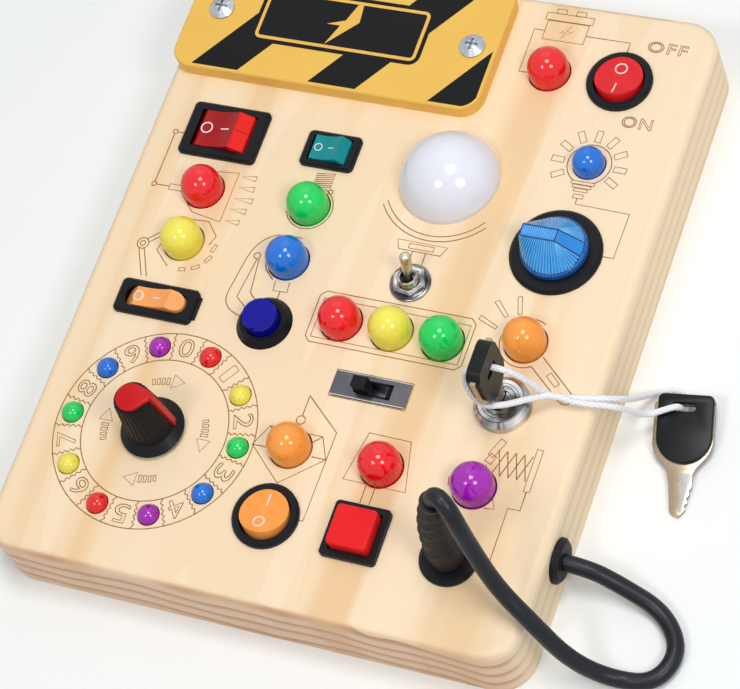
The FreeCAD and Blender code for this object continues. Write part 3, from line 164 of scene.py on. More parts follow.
def finish(name, colour, second, patch, roughness, grain=0, depth=0.0, **sockets):
    """A finish with two tones in soft patches of 1 / patch metres and, with a grain, a fine bump."""
    material = new_material(name, **sockets)
    tree = material.node_tree
    bsdf = tree.nodes["Principled BSDF"]
    place = add_node(tree, "TexCoord").outputs["Object"]
    patches = add_node(tree, "TexNoise", {"Vector": place, "Scale": patch, "Detail": 4}).outputs["Fac"]
    tones = mix_tones(tree, patches, colour, second)
    tones.name = "tones"
    wear = ramp(tree, patches, 0, 1, roughness * 0.8, min(1, roughness * 1.2))
    tree.links.new(tones.outputs[2], bsdf.inputs["Base Color"])
    tree.links.new(wear, bsdf.inputs["Roughness"])
    if grain:
        pores = add_node(tree, "TexNoise", {"Vector": place, "Scale": grain}).outputs["Fac"]
        bump = add_node(tree, "Bump", {"Height": pores, "Strength": 0.5, "Distance": depth * mm})
        tree.links.new(bump.outputs["Normal"], bsdf.inputs["Normal"])
    return material


def route_curve(name, points_mm):
    """A smooth open line with the route's points, in millimetres, as its control points."""
    data = bpy.data.curves.new(name, "CURVE")
    data.dimensions = "3D"
    data.resolution_u = 12
    spline = data.splines.new("NURBS")
    spline.points.add(len(points_mm) - 1)
    for control, point in zip(spline.points, points_mm):
        control.co = (*(Vector(point) * mm), 1)
    spline.order_u = 3
    spline.use_endpoint_u = True
    return stand(name, data)


def curve_mesh(curve):
    """The mesh of a curve or text object, which is then taken away."""
    bpy.context.view_layer.update()
    graph = bpy.context.evaluated_depsgraph_get()
    data = bpy.data.meshes.new_from_object(curve.evaluated_get(graph))
    bpy.data.objects.remove(curve)
    return data


def read_line(curve):
    """The points along a curve that has no bevel."""
    return [vertex.co.copy() for vertex in curve_mesh(curve).vertices]


def sweep_tube(name, points, radius, sides):
    """A closed round tube along the points, whose rings turn as little as they can."""
    tube = bmesh.new()
    side_way = Vector((0, 0, 1))
    layer = tube.loops.layers.uv.new("along")
    order = {}
    rings = []
    far = 0
    for i, point in enumerate(points):
        behind = points[max(i - 1, 0)]
        ahead = (points[min(i + 1, len(points) - 1)] - behind).normalized()
        far += (point - behind).length
        side_way = (side_way - ahead * side_way.dot(ahead)).normalized()
        basis = Matrix((side_way, ahead.cross(side_way), ahead)).transposed().to_4x4()
        ring = bmesh.ops.create_circle(
            tube, segments=sides, radius=radius, matrix=Matrix.Translation(point) @ basis)["verts"]
        order.update({vertex: (k / sides, far) for k, vertex in enumerate(ring)})
        rings.append([tube.edges.get((a, b)) for a, b in zip(ring, ring[1:] + ring[:1])])
    for before, after in zip(rings, rings[1:]):
        bmesh.ops.bridge_loops(tube, edges=before + after)
    bmesh.ops.contextual_create(tube, geom=rings[0])
    bmesh.ops.contextual_create(tube, geom=rings[-1])
    bmesh.ops.recalc_face_normals(tube, faces=tube.faces)
    for face in tube.faces:
        for loop in face.loops:
            around, along = order[loop.vert]
            if around == 0 and any(order[other.vert][0] > 0.6 for other in face.loops):
                around = 1
            loop[layer].uv = (around, along)
    data = bpy.data.meshes.new(name)
    tube.to_mesh(data)
    data.shade_smooth()
    return stand(name, data)


cable_radius = 3.0
jack_spot = Vector((68.4, -93, 28))
boot_top = jack_spot + Vector((4.6, 2, 44))
cable_route = [
    boot_top,
    (74.2, -90.8, 76.6),
    (77.6, -91.9, 79.1),
    (81.2, -94.3, 77),
    (83.7, -96.8, 71),
    (86.2, -99.2, 62),
    (93, -104.5, 44),
    (104.5, -110, 33.5),
    (114.5, -113.5, 16),
    (126, -112.6, 3.1),
    (141, -111, 3),
    (146, -98, 3),
    (137, -86, 3.1),
    (122, -82, 8),
    (110, -80.7, 15),
    (94, -80.7, 15),
]
cable_points = read_line(route_curve("cable_line", cable_route))
cable = sweep_tube("jack_lead", cable_points, cable_radius * mm, 24)
lead_rubber = finish("lead_rubber", paint(15, 17, 24), paint(21, 23, 32), 120, 0.36, 900, 0.06,
                     Specular_IOR_Level=0.3)
cable.data.materials.append(lead_rubber)
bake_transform(cable)
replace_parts(cable, "cable")

# The key string: thin braided cotton, white, threaded through the heads of both keys and knotted
# into a loop, so that the spare key hangs over the board's side beside it.
string_radius = 1.1
string_route = [
    (68.2, -34.6, 56.5),
    (73.6, -34.4, 56.5),
    (78.6, -33.0, 50),
    (81.6, -31.8, 41),
    (86.0, -30.2, 31.2),
    (96.4, -27.6, 30.3),
    (105.8, -23.8, 26.0),
    (106.0, -15.8, 10.0),
    (110.0, -8.0, 1.4),
    (116.4, -5.2, 1.3),
    (121.0, -7.6, 1.2),
    (121.9, -13.8, 1.2),
    (122.1, -14.9, 10.0),
    (118.2, -17.2, 10.4),
    (112.0, -20.6, 9.6),
    (108.8, -23.8, 18),
    (105.8, -28.4, 29.6),
    (94.0, -30.8, 31.6),
    (86.4, -30.4, 34.2),
    (80.4, -34.8, 37.6),
    (74.0, -40.6, 41.2),
    (66.6, -43.0, 42.2),
    (61.0, -39.6, 46.4),
    (61.4, -37.1, 55.0),
    (66.0, -37.0, 56.5),
    (69.6, -37.0, 56.5),
]
string_points = read_line(route_curve("string_line", string_route))
string = sweep_tube("braided_string", string_points, string_radius * mm, 16)
cotton = new_material("cotton_braid", Roughness=0.8, Sheen_Weight=0.2)
cotton_tree = cotton.node_tree
cotton_bsdf = cotton_tree.nodes["Principled BSDF"]
cotton_uv = add_node(cotton_tree, "UVMap", uv_map="along").outputs["UV"]
strands = []
for lean in (1, -1):
    turned_uv = add_node(cotton_tree, "Mapping", {"Vector": cotton_uv, "Scale": (1, 260, 1),
                                                  "Rotation": (0, 0, lean * math.radians(26))}).outputs["Vector"]
    wave = add_node(cotton_tree, "TexWave", {"Vector": turned_uv, "Scale": 1.3, "Distortion": 0.6})
    strands.append(wave.outputs["Fac"])
weave = node_math(cotton_tree, "MAXIMUM", *strands)
weave_bump = add_node(cotton_tree, "Bump", {"Height": weave, "Strength": 0.5, "Distance": 0.0004})
weave_tone = mix_tones(cotton_tree, weave, paint(228, 231, 240), paint(246, 247, 250))
cotton_tree.links.new(weave_tone.outputs[2], cotton_bsdf.inputs["Base Color"])
cotton_tree.links.new(weave_bump.outputs["Normal"], cotton_bsdf.inputs["Normal"])
string.data.materials.append(cotton)
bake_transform(string)
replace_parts(string, "key_string")

# The board: strips of light pine glued edge to edge, planed, its corners and edges rounded over
# and the face sanded smooth. The grain runs up the board, so the short sides show end grain.
face_high = 28.0


def pine_wood(name, pale, deep, layer, figure):
    """Sawn pine: growth layers that lie nearly flat in the board and wander along its length."""
    wood = new_material(name, Roughness=0.5, Specular_IOR_Level=0.3)
    tree = wood.node_tree
    bsdf = tree.nodes["Principled BSDF"]
    place = add_node(tree, "TexCoord").outputs["Object"]

    def noise(scale, detail, stretch, distortion=0.0):
        mapping = add_node(tree, "Mapping", {"Vector": place, "Scale": stretch}).outputs["Vector"]
        sockets = {"Vector": mapping, "Scale": scale, "Detail": detail, "Distortion": distortion}
        return add_node(tree, "TexNoise", sockets).outputs["Fac"]

    def sum_of(kind, a, b):
        return node_math(tree, kind, a, b)

    def between(value, low, high):
        return ramp(tree, value, low, high, kind="SMOOTHSTEP")

    def tone(share, a, b):
        return mix_tones(tree, share, a, b).outputs[2]

    axes = add_node(tree, "SeparateXYZ", {"Vector": place})
    facing = add_node(tree, "SeparateXYZ", {"Vector": add_node(tree, "NewGeometry").outputs["Normal"]})
    on_end = between(sum_of("ABSOLUTE", facing.outputs["Y"], 0), 0.35, 0.9)
    on_side = between(sum_of("ABSOLUTE", facing.outputs["X"], 0), 0.35, 0.9)

    wander = sum_of("MULTIPLY", noise(16, 2, (1, 0.1, 0.6), 0.3), 0.02)
    depth = sum_of("ADD", axes.outputs["Z"], wander)
    turns = sum_of("MULTIPLY", depth, 1 / layer)
    saw = sum_of("FRACT", turns, 0)
    late = between(saw, 0.45, 1.0)
    bands = between(noise(42, 3, (1, 0.045, 0.2), 0.25), 0.52, 0.68)
    streaks = between(noise(420, 3, (1, 0.02, 1)), 0.45, 0.8)
    fleck = between(noise(1300, 2, (1, 0.06, 1)), 0.58, 0.8)
    top_share = sum_of("ADD", sum_of("MULTIPLY", late, figure), sum_of("MULTIPLY", bands, 0.75))
    end_share = sum_of("MULTIPLY", late, sum_of("MULTIPLY", on_end, 1.0))
    side_share = sum_of("MULTIPLY", late, sum_of("MULTIPLY", on_side, 0.55))
    share = sum_of("MINIMUM", sum_of("ADD", top_share, sum_of("ADD", end_share, side_share)), 1)
    colour = tone(share, pale, deep)
    colour = tone(sum_of("MULTIPLY", streaks, 0.12), colour, deep)
    colour = tone(sum_of("MULTIPLY", fleck, 0.14), colour, deep)
    # The short ends are tinted pink and darker: partly the end grain's own tone, partly painted shade.
    colour = tone(sum_of("MULTIPLY", on_end, 0.4), colour, paint(206, 152, 128))
    colour = tone(sum_of("MULTIPLY", late, sum_of("MULTIPLY", on_end, 0.5)), colour, paint(168, 112, 84))
    tree.links.new(colour, bsdf.inputs["Base Color"])
    bump = add_node(tree, "Bump", {"Height": streaks, "Strength": 0.12, "Distance": 0.15 * mm})
    tree.links.new(bump.outputs["Normal"], bsdf.inputs["Normal"])
    return wood


def dress(material, *nodes):
    """Gives CAD nodes their finish."""
    for node in nodes:
        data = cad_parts[node].data
        data.materials.clear()
        data.materials.append(material)


dress(pine_wood("pine", paint(248, 225, 192), paint(236, 199, 152), 7.5 * mm, 0.22), "wood_board")

# The back panel: a thin sheet of the same pine that lies in a ledge under the board and closes the
# hollow where the wires run. Six countersunk steel screws hold it; two more hold the battery cover.
dress(pine_wood("panel_wood", paint(232, 200, 154), paint(206, 164, 116), 4 * mm, 0.35), "back_panel")
screw_steel = finish("screw_steel", paint(196, 200, 206), paint(150, 156, 164), 700, 0.24, 2400, 0.02,
                     Metallic=1.0)
dress(screw_steel, "screws")

# The burnt drawings: thin brown lines that a laser has drawn into the face round each fitting, a
# small picture of what the fitting belongs to. Each line is a flat bead with its lower half in the wood.
line_half = 0.2
line_flat = 0.3
burnt = finish("burnt_line", paint(186, 132, 84), paint(134, 88, 50), 500, 0.9, 1500, 0.03,
               Specular_IOR_Level=0.1)


def line_curve(name, lines, **settings):
    """A curve through lines of points in millimetres, each open or closed, with its settings."""
    data = bpy.data.curves.new(name, "CURVE")
    for setting, value in settings.items():
        setattr(data, setting, value)
    for points, closed in lines:
        spline = data.splines.new("POLY")
        spline.points.add(len(points) - 1)
        for control, point in zip(spline.points, points):
            control.co = (*(Vector(point).to_3d() * mm), 1)
        spline.use_cyclic_u = closed
    return stand(name, data)


def tubes(name, lines, half_width):
    """Beads along lines of points, as one mesh."""
    return curve_mesh(line_curve(name, lines, dimensions="3D", bevel_depth=half_width * mm, bevel_resolution=1,
                                 use_fill_caps=True))


def add_piece(name, data, material, body):
    """A finished mesh as a piece of the object, on its body."""
    data.name = name
    data.materials.clear()
    data.materials.append(material)
    piece = stand(name, data)
    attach(piece, body)
    return piece


def burn(name, *lines):
    """A drawing on the board's face."""
    data = tubes(name, lines, line_half)
    data.transform(Matrix.Translation((0, 0, (face_high + 0.01) * mm)) @ Matrix.Diagonal((1, 1, line_flat, 1)))
    data.shade_smooth()
    return add_piece(name, data, burnt, "board")


def line(*points):
    """An open line by its points."""
    return [points, False]


def bend(*points):
    """An open line that runs smoothly by its points."""
    spots = read_line(route_curve("bend", [(*point, 0) for point in points]))
    return [[tuple(spot / mm) for spot in spots], False]


def loop(*points):
    """A closed line by its points."""
    return [points, True]


def box(left, low, right, high):
    """An upright box by its sides."""
    return loop((left, low), (right, low), (right, high), (left, high))


def arc(centre, radius, start=0.0, end=360.0, steps=40):
    """Part of a circle between two angles, or all of it."""
    whole = end - start == 360
    count = steps if whole else steps + 1
    angles = [math.radians(start + (end - start) * i / steps) for i in range(count)]
    return [[(centre[0] + radius * math.cos(a), centre[1] + radius * math.sin(a)) for a in angles], whole]


def turned_box(centre, size, angle):
    """A box turned about its centre."""
    turning = Matrix.Rotation(math.radians(angle), 2)
    corners = [(sx * size[0] / 2, sy * size[1] / 2) for sx, sy in ((-1, -1), (1, -1), (1, 1), (-1, 1))]
    return [[tuple(Vector(centre) + turning @ Vector(corner)) for corner in corners], True]


def word_outlines(text, width, height):
    """The outlines of generic lettering, fitted to a box about the origin."""
    data = bpy.data.curves.new("word", "FONT")
    data.body = text
    data.fill_mode = "NONE"
    data.resolution_u = 3
    data.space_character = 1.15
    drawn = curve_mesh(stand("word", data))
    spots = [vertex.co.copy() for vertex in drawn.vertices]
    low = [min(spot[axis] for spot in spots) for axis in (0, 1)]
    high = [max(spot[axis] for spot in spots) for axis in (0, 1)]
    fit = [((spot.x - (low[0] + high[0]) / 2) * width / (high[0] - low[0]),
            (spot.y - (low[1] + high[1]) / 2) * height / (high[1] - low[1])) for spot in spots]
    beside = {}
    for edge in drawn.edges:
        a, b = edge.vertices
        beside.setdefault(a, []).append(b)
        beside.setdefault(b, []).append(a)
    outlines = []
    left = set(beside)
    while left:
        start = min(left)
        walk = [start]
        left.discard(start)
        while True:
            ahead = [n for n in beside[walk[-1]] if n in left]
            if not ahead:
                break
            walk.append(ahead[0])
            left.discard(ahead[0])
        outlines.append([[fit[i] for i in walk], True])
    return outlines


def put(lines, centre, angle=0.0):
    """Lines turned about the origin and moved to a place."""
    turning = Matrix.Rotation(math.radians(angle), 2)
    return [[[tuple(turning @ Vector(point) + Vector(centre)) for point in points], closed]
            for points, closed in lines]


burn("battery_drawing",
     box(35.8, 108.2, 51.6, 116.2), box(34.6, 116.5, 52.6, 119.5),
     box(38.1, 119.5, 41.6, 121.4), box(45.5, 119.5, 49.1, 121.4),
     loop((45.4, 115), (41.8, 111.7), (43.8, 111.9), (42.4, 109.1), (46.1, 112.6), (44.1, 112.5)),
     line((35.8, 111.7), (31.8, 111.7), (31.8, 93.5), (35.3, 93.5)),
     line((51.8, 111.7), (68.6, 111.7), (68.6, 107.5)))
burn("switch_words", *put(word_outlines("OFF", 14.6, 4.3), (82.7, 111.6)),
     *put(word_outlines("ON", 11, 4.4), (80.9, 80)))
bulb_spot = (69.1, 60.8)
ray_spots = ((58.9, 55.3), (57.3, 61.1), (58.9, 66.7), (63.3, 71.1), (69.2, 72.3), (74.9, 70.7),
             (79.1, 66.3), (80.6, 60.5), (79, 55))
bulb_rays = [turned_box(spot, (4.6, 2.2), math.degrees(math.atan2(spot[1] - bulb_spot[1], spot[0] - bulb_spot[0])))
             for spot in ray_spots]
burn("bulb_drawing", arc(bulb_spot, 8, -62, 242), *bulb_rays,
     *[box(64.8 + step, 52.5 - step * 1.6, 73.4 - step, 53.7 - step * 1.6) for step in (0, 0.9, 1.8)],
     box(67.2, 46.9, 70.8, 48.5),
     line((68.9, 46.9), (68.9, 44.6), (89.2, 44.2), (88.8, 26.4), (84.9, 26.4)))
burn("ceiling_lamp_drawing", arc((21.2, 45.7), 23.2, 212, 322), arc((21.2, 45.7), 25.2, 214, 320),
     loop((10.3, 19.2), (29.5, 19), (27.8, 15.4), (11.8, 15.5)), box(15.3, 16.4, 24.7, 18.3),
     line((17.3, 15.4), (17.3, 9)), line((22.3, 15.4), (22.3, 9)))
ray_tips = ((-50.5, 32.5), (-49.7, 28), (-48.6, 23.3), (-49.6, 18.8), (-50.6, 14))
burn("spotlight_drawing", arc((-88.8, 46), 0.9), arc((-88.8, 23.5), 0.9),
     line((-88.8, 45), (-88.8, 24.4)), line((-87.9, 46), (-85, 46)), line((-87.9, 23.5), (-82.5, 23.5)),
     box(-82.5, 22.3, -77.5, 24.6),
     line((-77.5, 24.2), (-73, 32), (-57.8, 33.7), (-57.8, 13), (-70, 15), (-77.5, 22.6)),
     *[loop((-56, y), (x, y + 1.1), (x, y - 1.1)) for x, y in ray_tips])
burn("coil_drawing", *[line((-28.5, 33.4 + lift), (-21.5, 34.4 + lift), (-21.5, 35.2 + lift), (-28.5, 34.2 + lift))
                       for lift in (0, 1.6, 3.2, 4.8)],
     arc((-20.8, 32.6), 0.9), arc((-26.3, 25.1), 8.7, -160, 70))
burn("desk_lamp_drawing", arc((-83.7, -0.8), 2.2), arc((-83.7, -0.8), 1.0),
     line((-82.6, 1.2), (-76.5, 6.6)), line((-81.6, 0), (-75.6, 5)),
     line((-84.6, -2.8), (-79.4, -13.6)), line((-82.5, -2.6), (-77.2, -13.6)),
     line((-76.5, 6.6), (-71, 11.8), (-62, 12.4), (-57, 7), (-58.4, 3.2)),
     line((-75.6, 5), (-77.4, -2.4), (-71, -8)),
     turned_box((-56, 2.2), (3, 1.3), 75), turned_box((-56.6, -2.4), (3, 1.3), 60),
     turned_box((-60.2, -6.4), (3, 1.3), 30), turned_box((-65, -8.2), (2.4, 1.3), 10))
burn("headlamp_drawing",
     bend((-24.5, 12.5), (-33, 13), (-38.6, 9.6), (-42, 4), (-43.4, -6), (-45.2, -20), (-36, -21.8)),
     line((-38.4, 1.2), (-40.4, -14.6), (-35, -18.6)), line((-37.6, 1.4), (-36, -12), (-32.6, -15)),
     arc((-38.8, 2.6), 1.2), line((-35.6, 9), (-31, 9.6)), line((-35.6, 9), (-36, 4), (-33.6, -2), (-29.6, -5.6)),
     line((-28.4, -5.8), (-28, -9.6), (-22.6, -9.4), (-23, -5.4)), line((-25.2, -9.5), (-25.2, -12.4)))
signal_outer = loop((-8, -26), (47.3, -26), (49.3, -24), (49.3, -7.8), (47.3, -5.8), (-8, -5.8), (-10, -7.8),
                    (-10, -24))
burn("signal_drawing", signal_outer, box(-8, -24, 47.7, -8.5))
burn("torch_drawing", loop((53, 2), (54.4, 3), (59.4, -2.2), (58.3, -3)),
     loop((60.5, 5.5), (62, 5.9), (63.9, -0.6), (62.6, -1)), loop((49.5, -5.5), (50, -3.9), (57, -7), (56.5, -8)),
     arc((68.8, -11), 9.4, 60, 300), line((73.5, -19.3), (87, -30)), line((76.4, -15), (90.4, -26.4)),
     arc((88.8, -28.2), 2.5, -128, 40), turned_box((82.4, -22.6), (5.4, 2), -40))
gem = loop((-10, -60), (10, -60), (14, -68), (0, -80), (-14, -68))
burn("pendant_drawing", gem, line((-10, -60), (-6.6, -63.4)), line((10, -60), (6.6, -63.4)),
     line((-14, -68), (-8.6, -68)), line((14, -68), (8.6, -68)), arc((0, -55.6), 1.6), line((0, -54), (0, -46)),
     line((0, -46), (14.3, -57.5), (14, -91.5), (12.6, -91.4)))
burn("shade_drawing", loop((25.8, -55), (41.5, -55.2), (45.6, -73.6), (22.4, -73.4)),
     line((31.3, -73.5), (31.3, -80.6)), line((34.7, -73.5), (34.7, -80.6)))
scissors = [line((72.4 + step * 3.1, y), (75.5 + step * 3.1, y + side * 9.4))
            for step in range(4) for y, side in ((-60.7, 1), (-51.3, -1))]
burn("wall_lamp_drawing", line((60.4, -61.4), (58.6, -65), (59.4, -68)),
     line((69.6, -57.6), (72.2, -61), (77.6, -72.6), (74, -73)),
     turned_box((70.6, -55.2), (2.6, 3.2), -24), turned_box((71.6, -51), (2.4, 7), -24),
     *scissors, turned_box((86.4, -56.4), (2.2, 15.8), 0),
     line((86.4, -64.3), (86.4, -71.2), (82.1, -71.3), (82.1, -98)))

# The battery cover: a moulded plate of yellow plastic with black warning stripes printed on its
# face and a plain bolt badge, held at two corners by pan-head screws. Its sides stay yellow.
cover_top = 34.0
stripe_step = 47.6
stripe_wide = 19.0
stripe_rise = math.tan(math.radians(54))
stripe_start = -91.4
cover_left, cover_right, cover_low, cover_far = -100, 23.5, 71.0, 125
print_margin = 1.2
cover_yellow = finish("cover_yellow", paint(243, 197, 98), paint(236, 187, 88), 60, 0.36, 1600, 0.03,
                      Specular_IOR_Level=0.15)
ink = cover_yellow.node_tree


def object_axes(tree):
    """The X, Y and Z of the object's own coordinates."""
    axes = add_node(tree, "SeparateXYZ", {"Vector": add_node(tree, "TexCoord").outputs["Object"]})
    return [axes.outputs[axis] for axis in "XYZ"]


def recolour(material, share, colour):
    """Lays a colour over a finish's own tones by a share."""
    tree = material.node_tree
    mixed = mix_tones(tree, share, tree.nodes["tones"].outputs[2], colour)
    tree.links.new(mixed.outputs[2], tree.nodes["Principled BSDF"].inputs["Base Color"])


def ink_math(kind, a, b):
    return node_math(ink, kind, a, b)


ink_x, ink_y, ink_z = object_axes(ink)
climb = ink_math("DIVIDE", ink_math("SUBTRACT", ink_y, cover_low * mm), stripe_rise)
across_stripes = ink_math("SUBTRACT", ink_math("SUBTRACT", ink_x, climb), stripe_start * mm)
in_step = ink_math("MODULO", ink_math("ADD", across_stripes, 4 * stripe_step * mm), stripe_step * mm)
printed = ink_math("LESS_THAN", in_step, stripe_wide * mm)
for bound in (ink_math("GREATER_THAN", ink_z, (cover_top - 0.02) * mm),
              ink_math("LESS_THAN", ink_x, (cover_right - print_margin) * mm),
              ink_math("GREATER_THAN", ink_x, (cover_left + print_margin) * mm),
              ink_math("GREATER_THAN", ink_y, (cover_low + print_margin) * mm),
              ink_math("LESS_THAN", ink_y, (cover_far - print_margin) * mm)):
    printed = ink_math("MULTIPLY", printed, bound)
recolour(cover_yellow, printed, paint(6, 6, 9))
dress(cover_yellow, "battery_cover")


def closed_mesh(name, work):
    """The mesh of a finished shape, its faces turned outwards."""
    bmesh.ops.recalc_face_normals(work, faces=work.faces)
    data = bpy.data.meshes.new(name)
    work.to_mesh(data)
    return data


def plate(name, outline, low, thick, material, body, round_by=0.0, edge=0.0):
    """A flat plate with the outline's corners rounded and its upper edge broken, both in millimetres."""
    work = bmesh.new()
    corners = [work.verts.new((x * mm, y * mm, low * mm)) for x, y in outline]
    face = bmesh.ops.contextual_create(work, geom=corners)["faces"][0]
    if face.normal.z < 0:
        face.normal_flip()
    if round_by:
        bmesh.ops.bevel(work, geom=list(work.verts), offset=round_by * mm, segments=5, profile=0.5,
                        affect="VERTICES", material=-1)
    base = list(work.faces)
    raised = bmesh.ops.extrude_face_region(work, geom=base)["geom"]
    lid = [item for item in raised if isinstance(item, bmesh.types.BMVert)]
    bmesh.ops.translate(work, verts=lid, vec=(0, 0, thick * mm))
    if edge:
        rim = [item for item in work.edges if all(vertex in lid for vertex in item.verts)]
        bmesh.ops.bevel(work, geom=rim, offset=edge * mm, segments=2, profile=0.5, affect="EDGES", material=-1)
    data = closed_mesh(name, work)
    data.set_sharp_from_angle(angle=math.radians(35))
    return add_piece(name, data, material, body)


ink_black = finish("ink_black", paint(6, 6, 9), paint(12, 12, 16), 300, 0.4, 1600, 0.03,
                   Specular_IOR_Level=0.15)
badge_yellow = finish("badge_yellow", paint(243, 194, 98), paint(236, 185, 88), 60, 0.36, 1600, 0.03,
                      Specular_IOR_Level=0.15)
badge_left, badge_low, badge_right, badge_top = -72, 85.5, -4, 110
for name, inset, high, material in (("badge_border", 0, 0.12, ink_black), ("badge_field", 1.6, 0.2, badge_yellow),
                                    ("badge_panel", 2.9, 0.28, ink_black)):
    left, low, right, top = badge_left + inset, badge_low + inset, badge_right - inset, badge_top - inset
    plate(name, ((left, low), (right, low), (right, top), (left, top)), cover_top - 0.05, high, material,
          "board", 4 - inset)
bolt = ((-34.5, 107), (-44, 97.2), (-38.6, 97.2), (-42, 88.6), (-31.6, 99.6), (-37.2, 99.6), (-32.4, 107))
plate("badge_bolt", bolt, cover_top - 0.05, 0.36, badge_yellow, "board")

# The battery case and its three cells, out of sight in the board's hollow under the cover: a thin
# black tray with button cells in their printed wraps.
black_plastic = finish("black_plastic", paint(11, 12, 17), paint(18, 19, 25), 260, 0.42, 2200, 0.05,
                       Specular_IOR_Level=0.16)
dress(black_plastic, "battery_case")
dress(finish("cell_wrap", paint(176, 180, 186), paint(120, 124, 130), 300, 0.3, 900, 0.02, Metallic=0.8),
      "battery_cells")


# The lamp domes: bullet-shaped caps of tinted plastic pressed into holes in the face, each over its
# small lamp. They are glossy and a little cloudy, with painted shade that darkens them towards the foot.
def lens(name, colour, deep, *nodes):
    """A tinted cap with painted shade that darkens its colour towards its foot."""
    material = finish(name, colour, deep, 90, 0.08, Specular_IOR_Level=0.5, Subsurface_Weight=0.12,
                      Subsurface_Scale=0.002)
    tree = material.node_tree
    # Painted shade: the cap's colour darkens from 6.5 mm above the face down to its foot on the board.
    foot = ramp(tree, object_axes(tree)[2], (face_high + 6.5) * mm, face_high * mm, most=0.3)
    recolour(material, foot, (*[channel * 0.6 for channel in deep[:3]], 1))
    dress(material, *nodes)


lens("lens_red", paint(248, 24, 30), paint(236, 14, 22), "red_dome_left", "red_dome_top", "red_dome_signal",
     "red_dome_shade", "ring_lamps_red")
lens("lens_green", paint(2, 224, 102), paint(1, 208, 88), "green_dome_coil", "green_dome_signal",
     "ring_lamps_green")
lens("lens_yellow", paint(252, 240, 92), paint(246, 228, 74), "yellow_dome_lamp", "yellow_dome_signal",
     "ring_lamps_yellow")
lens("lens_blue", paint(10, 124, 228), paint(6, 106, 212), "blue_dome_lamp", "small_dome", "ring_lamps_blue")
lens("lens_orange", paint(255, 166, 66), paint(252, 150, 50), "orange_dome_torch", "orange_dome_pendant")
lens("lens_purple", paint(176, 28, 190), paint(158, 18, 174), "purple_dome_lamp", "ring_lamps_purple")

# The ceiling lamp: a wide low dome of milky white plastic, moulded in one piece and pressed into
# its own hole in the face, with a larger lamp beneath it.
milk = finish("milk_white", paint(236, 237, 247), paint(231, 232, 244), 40, 0.12, Specular_IOR_Level=0.5,
              Subsurface_Weight=0.2, Subsurface_Scale=0.004)
dress(milk, "white_dome")

# The number ring: ten small lamps and the digits 0 to 9 by turns between two burnt circles, with
# wavy lines between them and four arrows that show which way the selector counts.
ring_spot = (-51.3, -70.5)
ring_out = 37.8
ring_in = 27.3
digit_out = 32.6
burn("ring_circles", arc(ring_spot, ring_out, steps=120), arc(ring_spot, ring_in, steps=96))
ring_lines = []
for digit in range(10):
    at = 90 - 36 * digit
    spot = arc(ring_spot, digit_out, at, at + 1, 1)[0][0]
    ring_lines += put(word_outlines(str(digit), 5.4 if digit != 1 else 2.8, 7), spot, at - 90)
    for side in (-9, 9):
        waves = []
        for i in range(22):
            far = ring_in + (ring_out - ring_in) * i / 21
            sway = math.degrees(0.45 * math.sin(i * 1.5) / far)
            waves.append(arc(ring_spot, far, at + side + sway, at + side + sway + 1, 1)[0][0])
        ring_lines.append([waves, False])
burn("ring_digits", *ring_lines)
arrow_lines = []
for start in (77, -13, -103, 167):
    tip, left, right = (arc(ring_spot, far, start + ahead, start + ahead + 1, 1)[0][0]
                        for far, ahead in ((20, 0), (21.8, 13.5), (16.6, 13.5)))
    arrow_lines.append(loop(tip, left, right))
    for ahead in (18.5, 24, 29.5, 35):
        spot = arc(ring_spot, 18.9, start + ahead, start + ahead + 1, 1)[0][0]
        long = 3.2 - 0.03 * ahead
        arrow_lines.append(turned_box(spot, (long, 1.0), start + ahead))
burn("ring_arrows", *arrow_lines)

# The rocker switches: black snap-in frames with a chamfered lip, and dished paddles of coloured
# plastic that tip on a pivot below the face. An O and a line are moulded into each paddle's ends.
dress(black_plastic, "red_rocker_frame", "teal_rocker_frame", "orange_rocker_frame", "red_round_frame",
      "orange_round_frame")


def paddle(name, colour, deep, node, rough=0.22, **sockets):
    """Gives a moulded cap its plain coloured plastic."""
    material = finish(name, colour, deep, 160, rough, **{"Specular_IOR_Level": 0.22, **sockets})
    dress(material, node)
    return material


red_paddle = paddle("rocker_red", paint(184, 22, 26), paint(142, 6, 14), "red_rocker", Subsurface_Weight=0.1,
                    Subsurface_Scale=0.002)
# Painted light: the paddle's raised end face, past x = -64 mm, is painted a brighter red than its top.
painted_lit_end = ramp(red_paddle.node_tree, object_axes(red_paddle.node_tree)[0], -64.4 * mm, -63.8 * mm)
recolour(red_paddle, painted_lit_end, paint(236, 34, 30))
paddle("rocker_teal", paint(0, 148, 152), paint(0, 130, 136), "teal_rocker")
paddle("rocker_orange", paint(255, 176, 108), paint(248, 160, 90), "orange_rocker", 0.4,
       Specular_IOR_Level=0.2, Subsurface_Weight=0.15, Subsurface_Scale=0.002)
paddle("round_red", paint(236, 34, 40), paint(214, 16, 26), "red_round")
paddle("round_orange", paint(254, 170, 84), paint(244, 146, 58), "orange_round")


def surface_of(data):
    """A mesh as a surface that rays can hit."""
    data.calc_loop_triangles()
    spots = [vertex.co for vertex in data.vertices]
    return BVHTree.FromPolygons(spots, [tuple(face.vertices) for face in data.loop_triangles])


def mark(name, under, body, slot, material, half_width, *lines):
    """Moulded lines that lie on the upper surface of a CAD node, or of a mesh."""
    surface = surface_of(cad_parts[under].data if isinstance(under, str) else under)
    laid = []
    for points, closed in lines:
        dropped = []
        for x, y in points:
            hit = surface.ray_cast(Vector((x * mm, y * mm, 0.1)), Vector((0, 0, -1)))[0]
            dropped.append(hit / mm)
        laid.append([dropped, closed])
    data = tubes(name, laid, half_width)
    data.shade_smooth()
    return add_piece(name, data, material, body)


def dense(a, b, steps=8):
    """A straight line with points all along it."""
    return line(*[tuple(Vector(a).lerp(Vector(b), i / steps)) for i in range(steps + 1)])


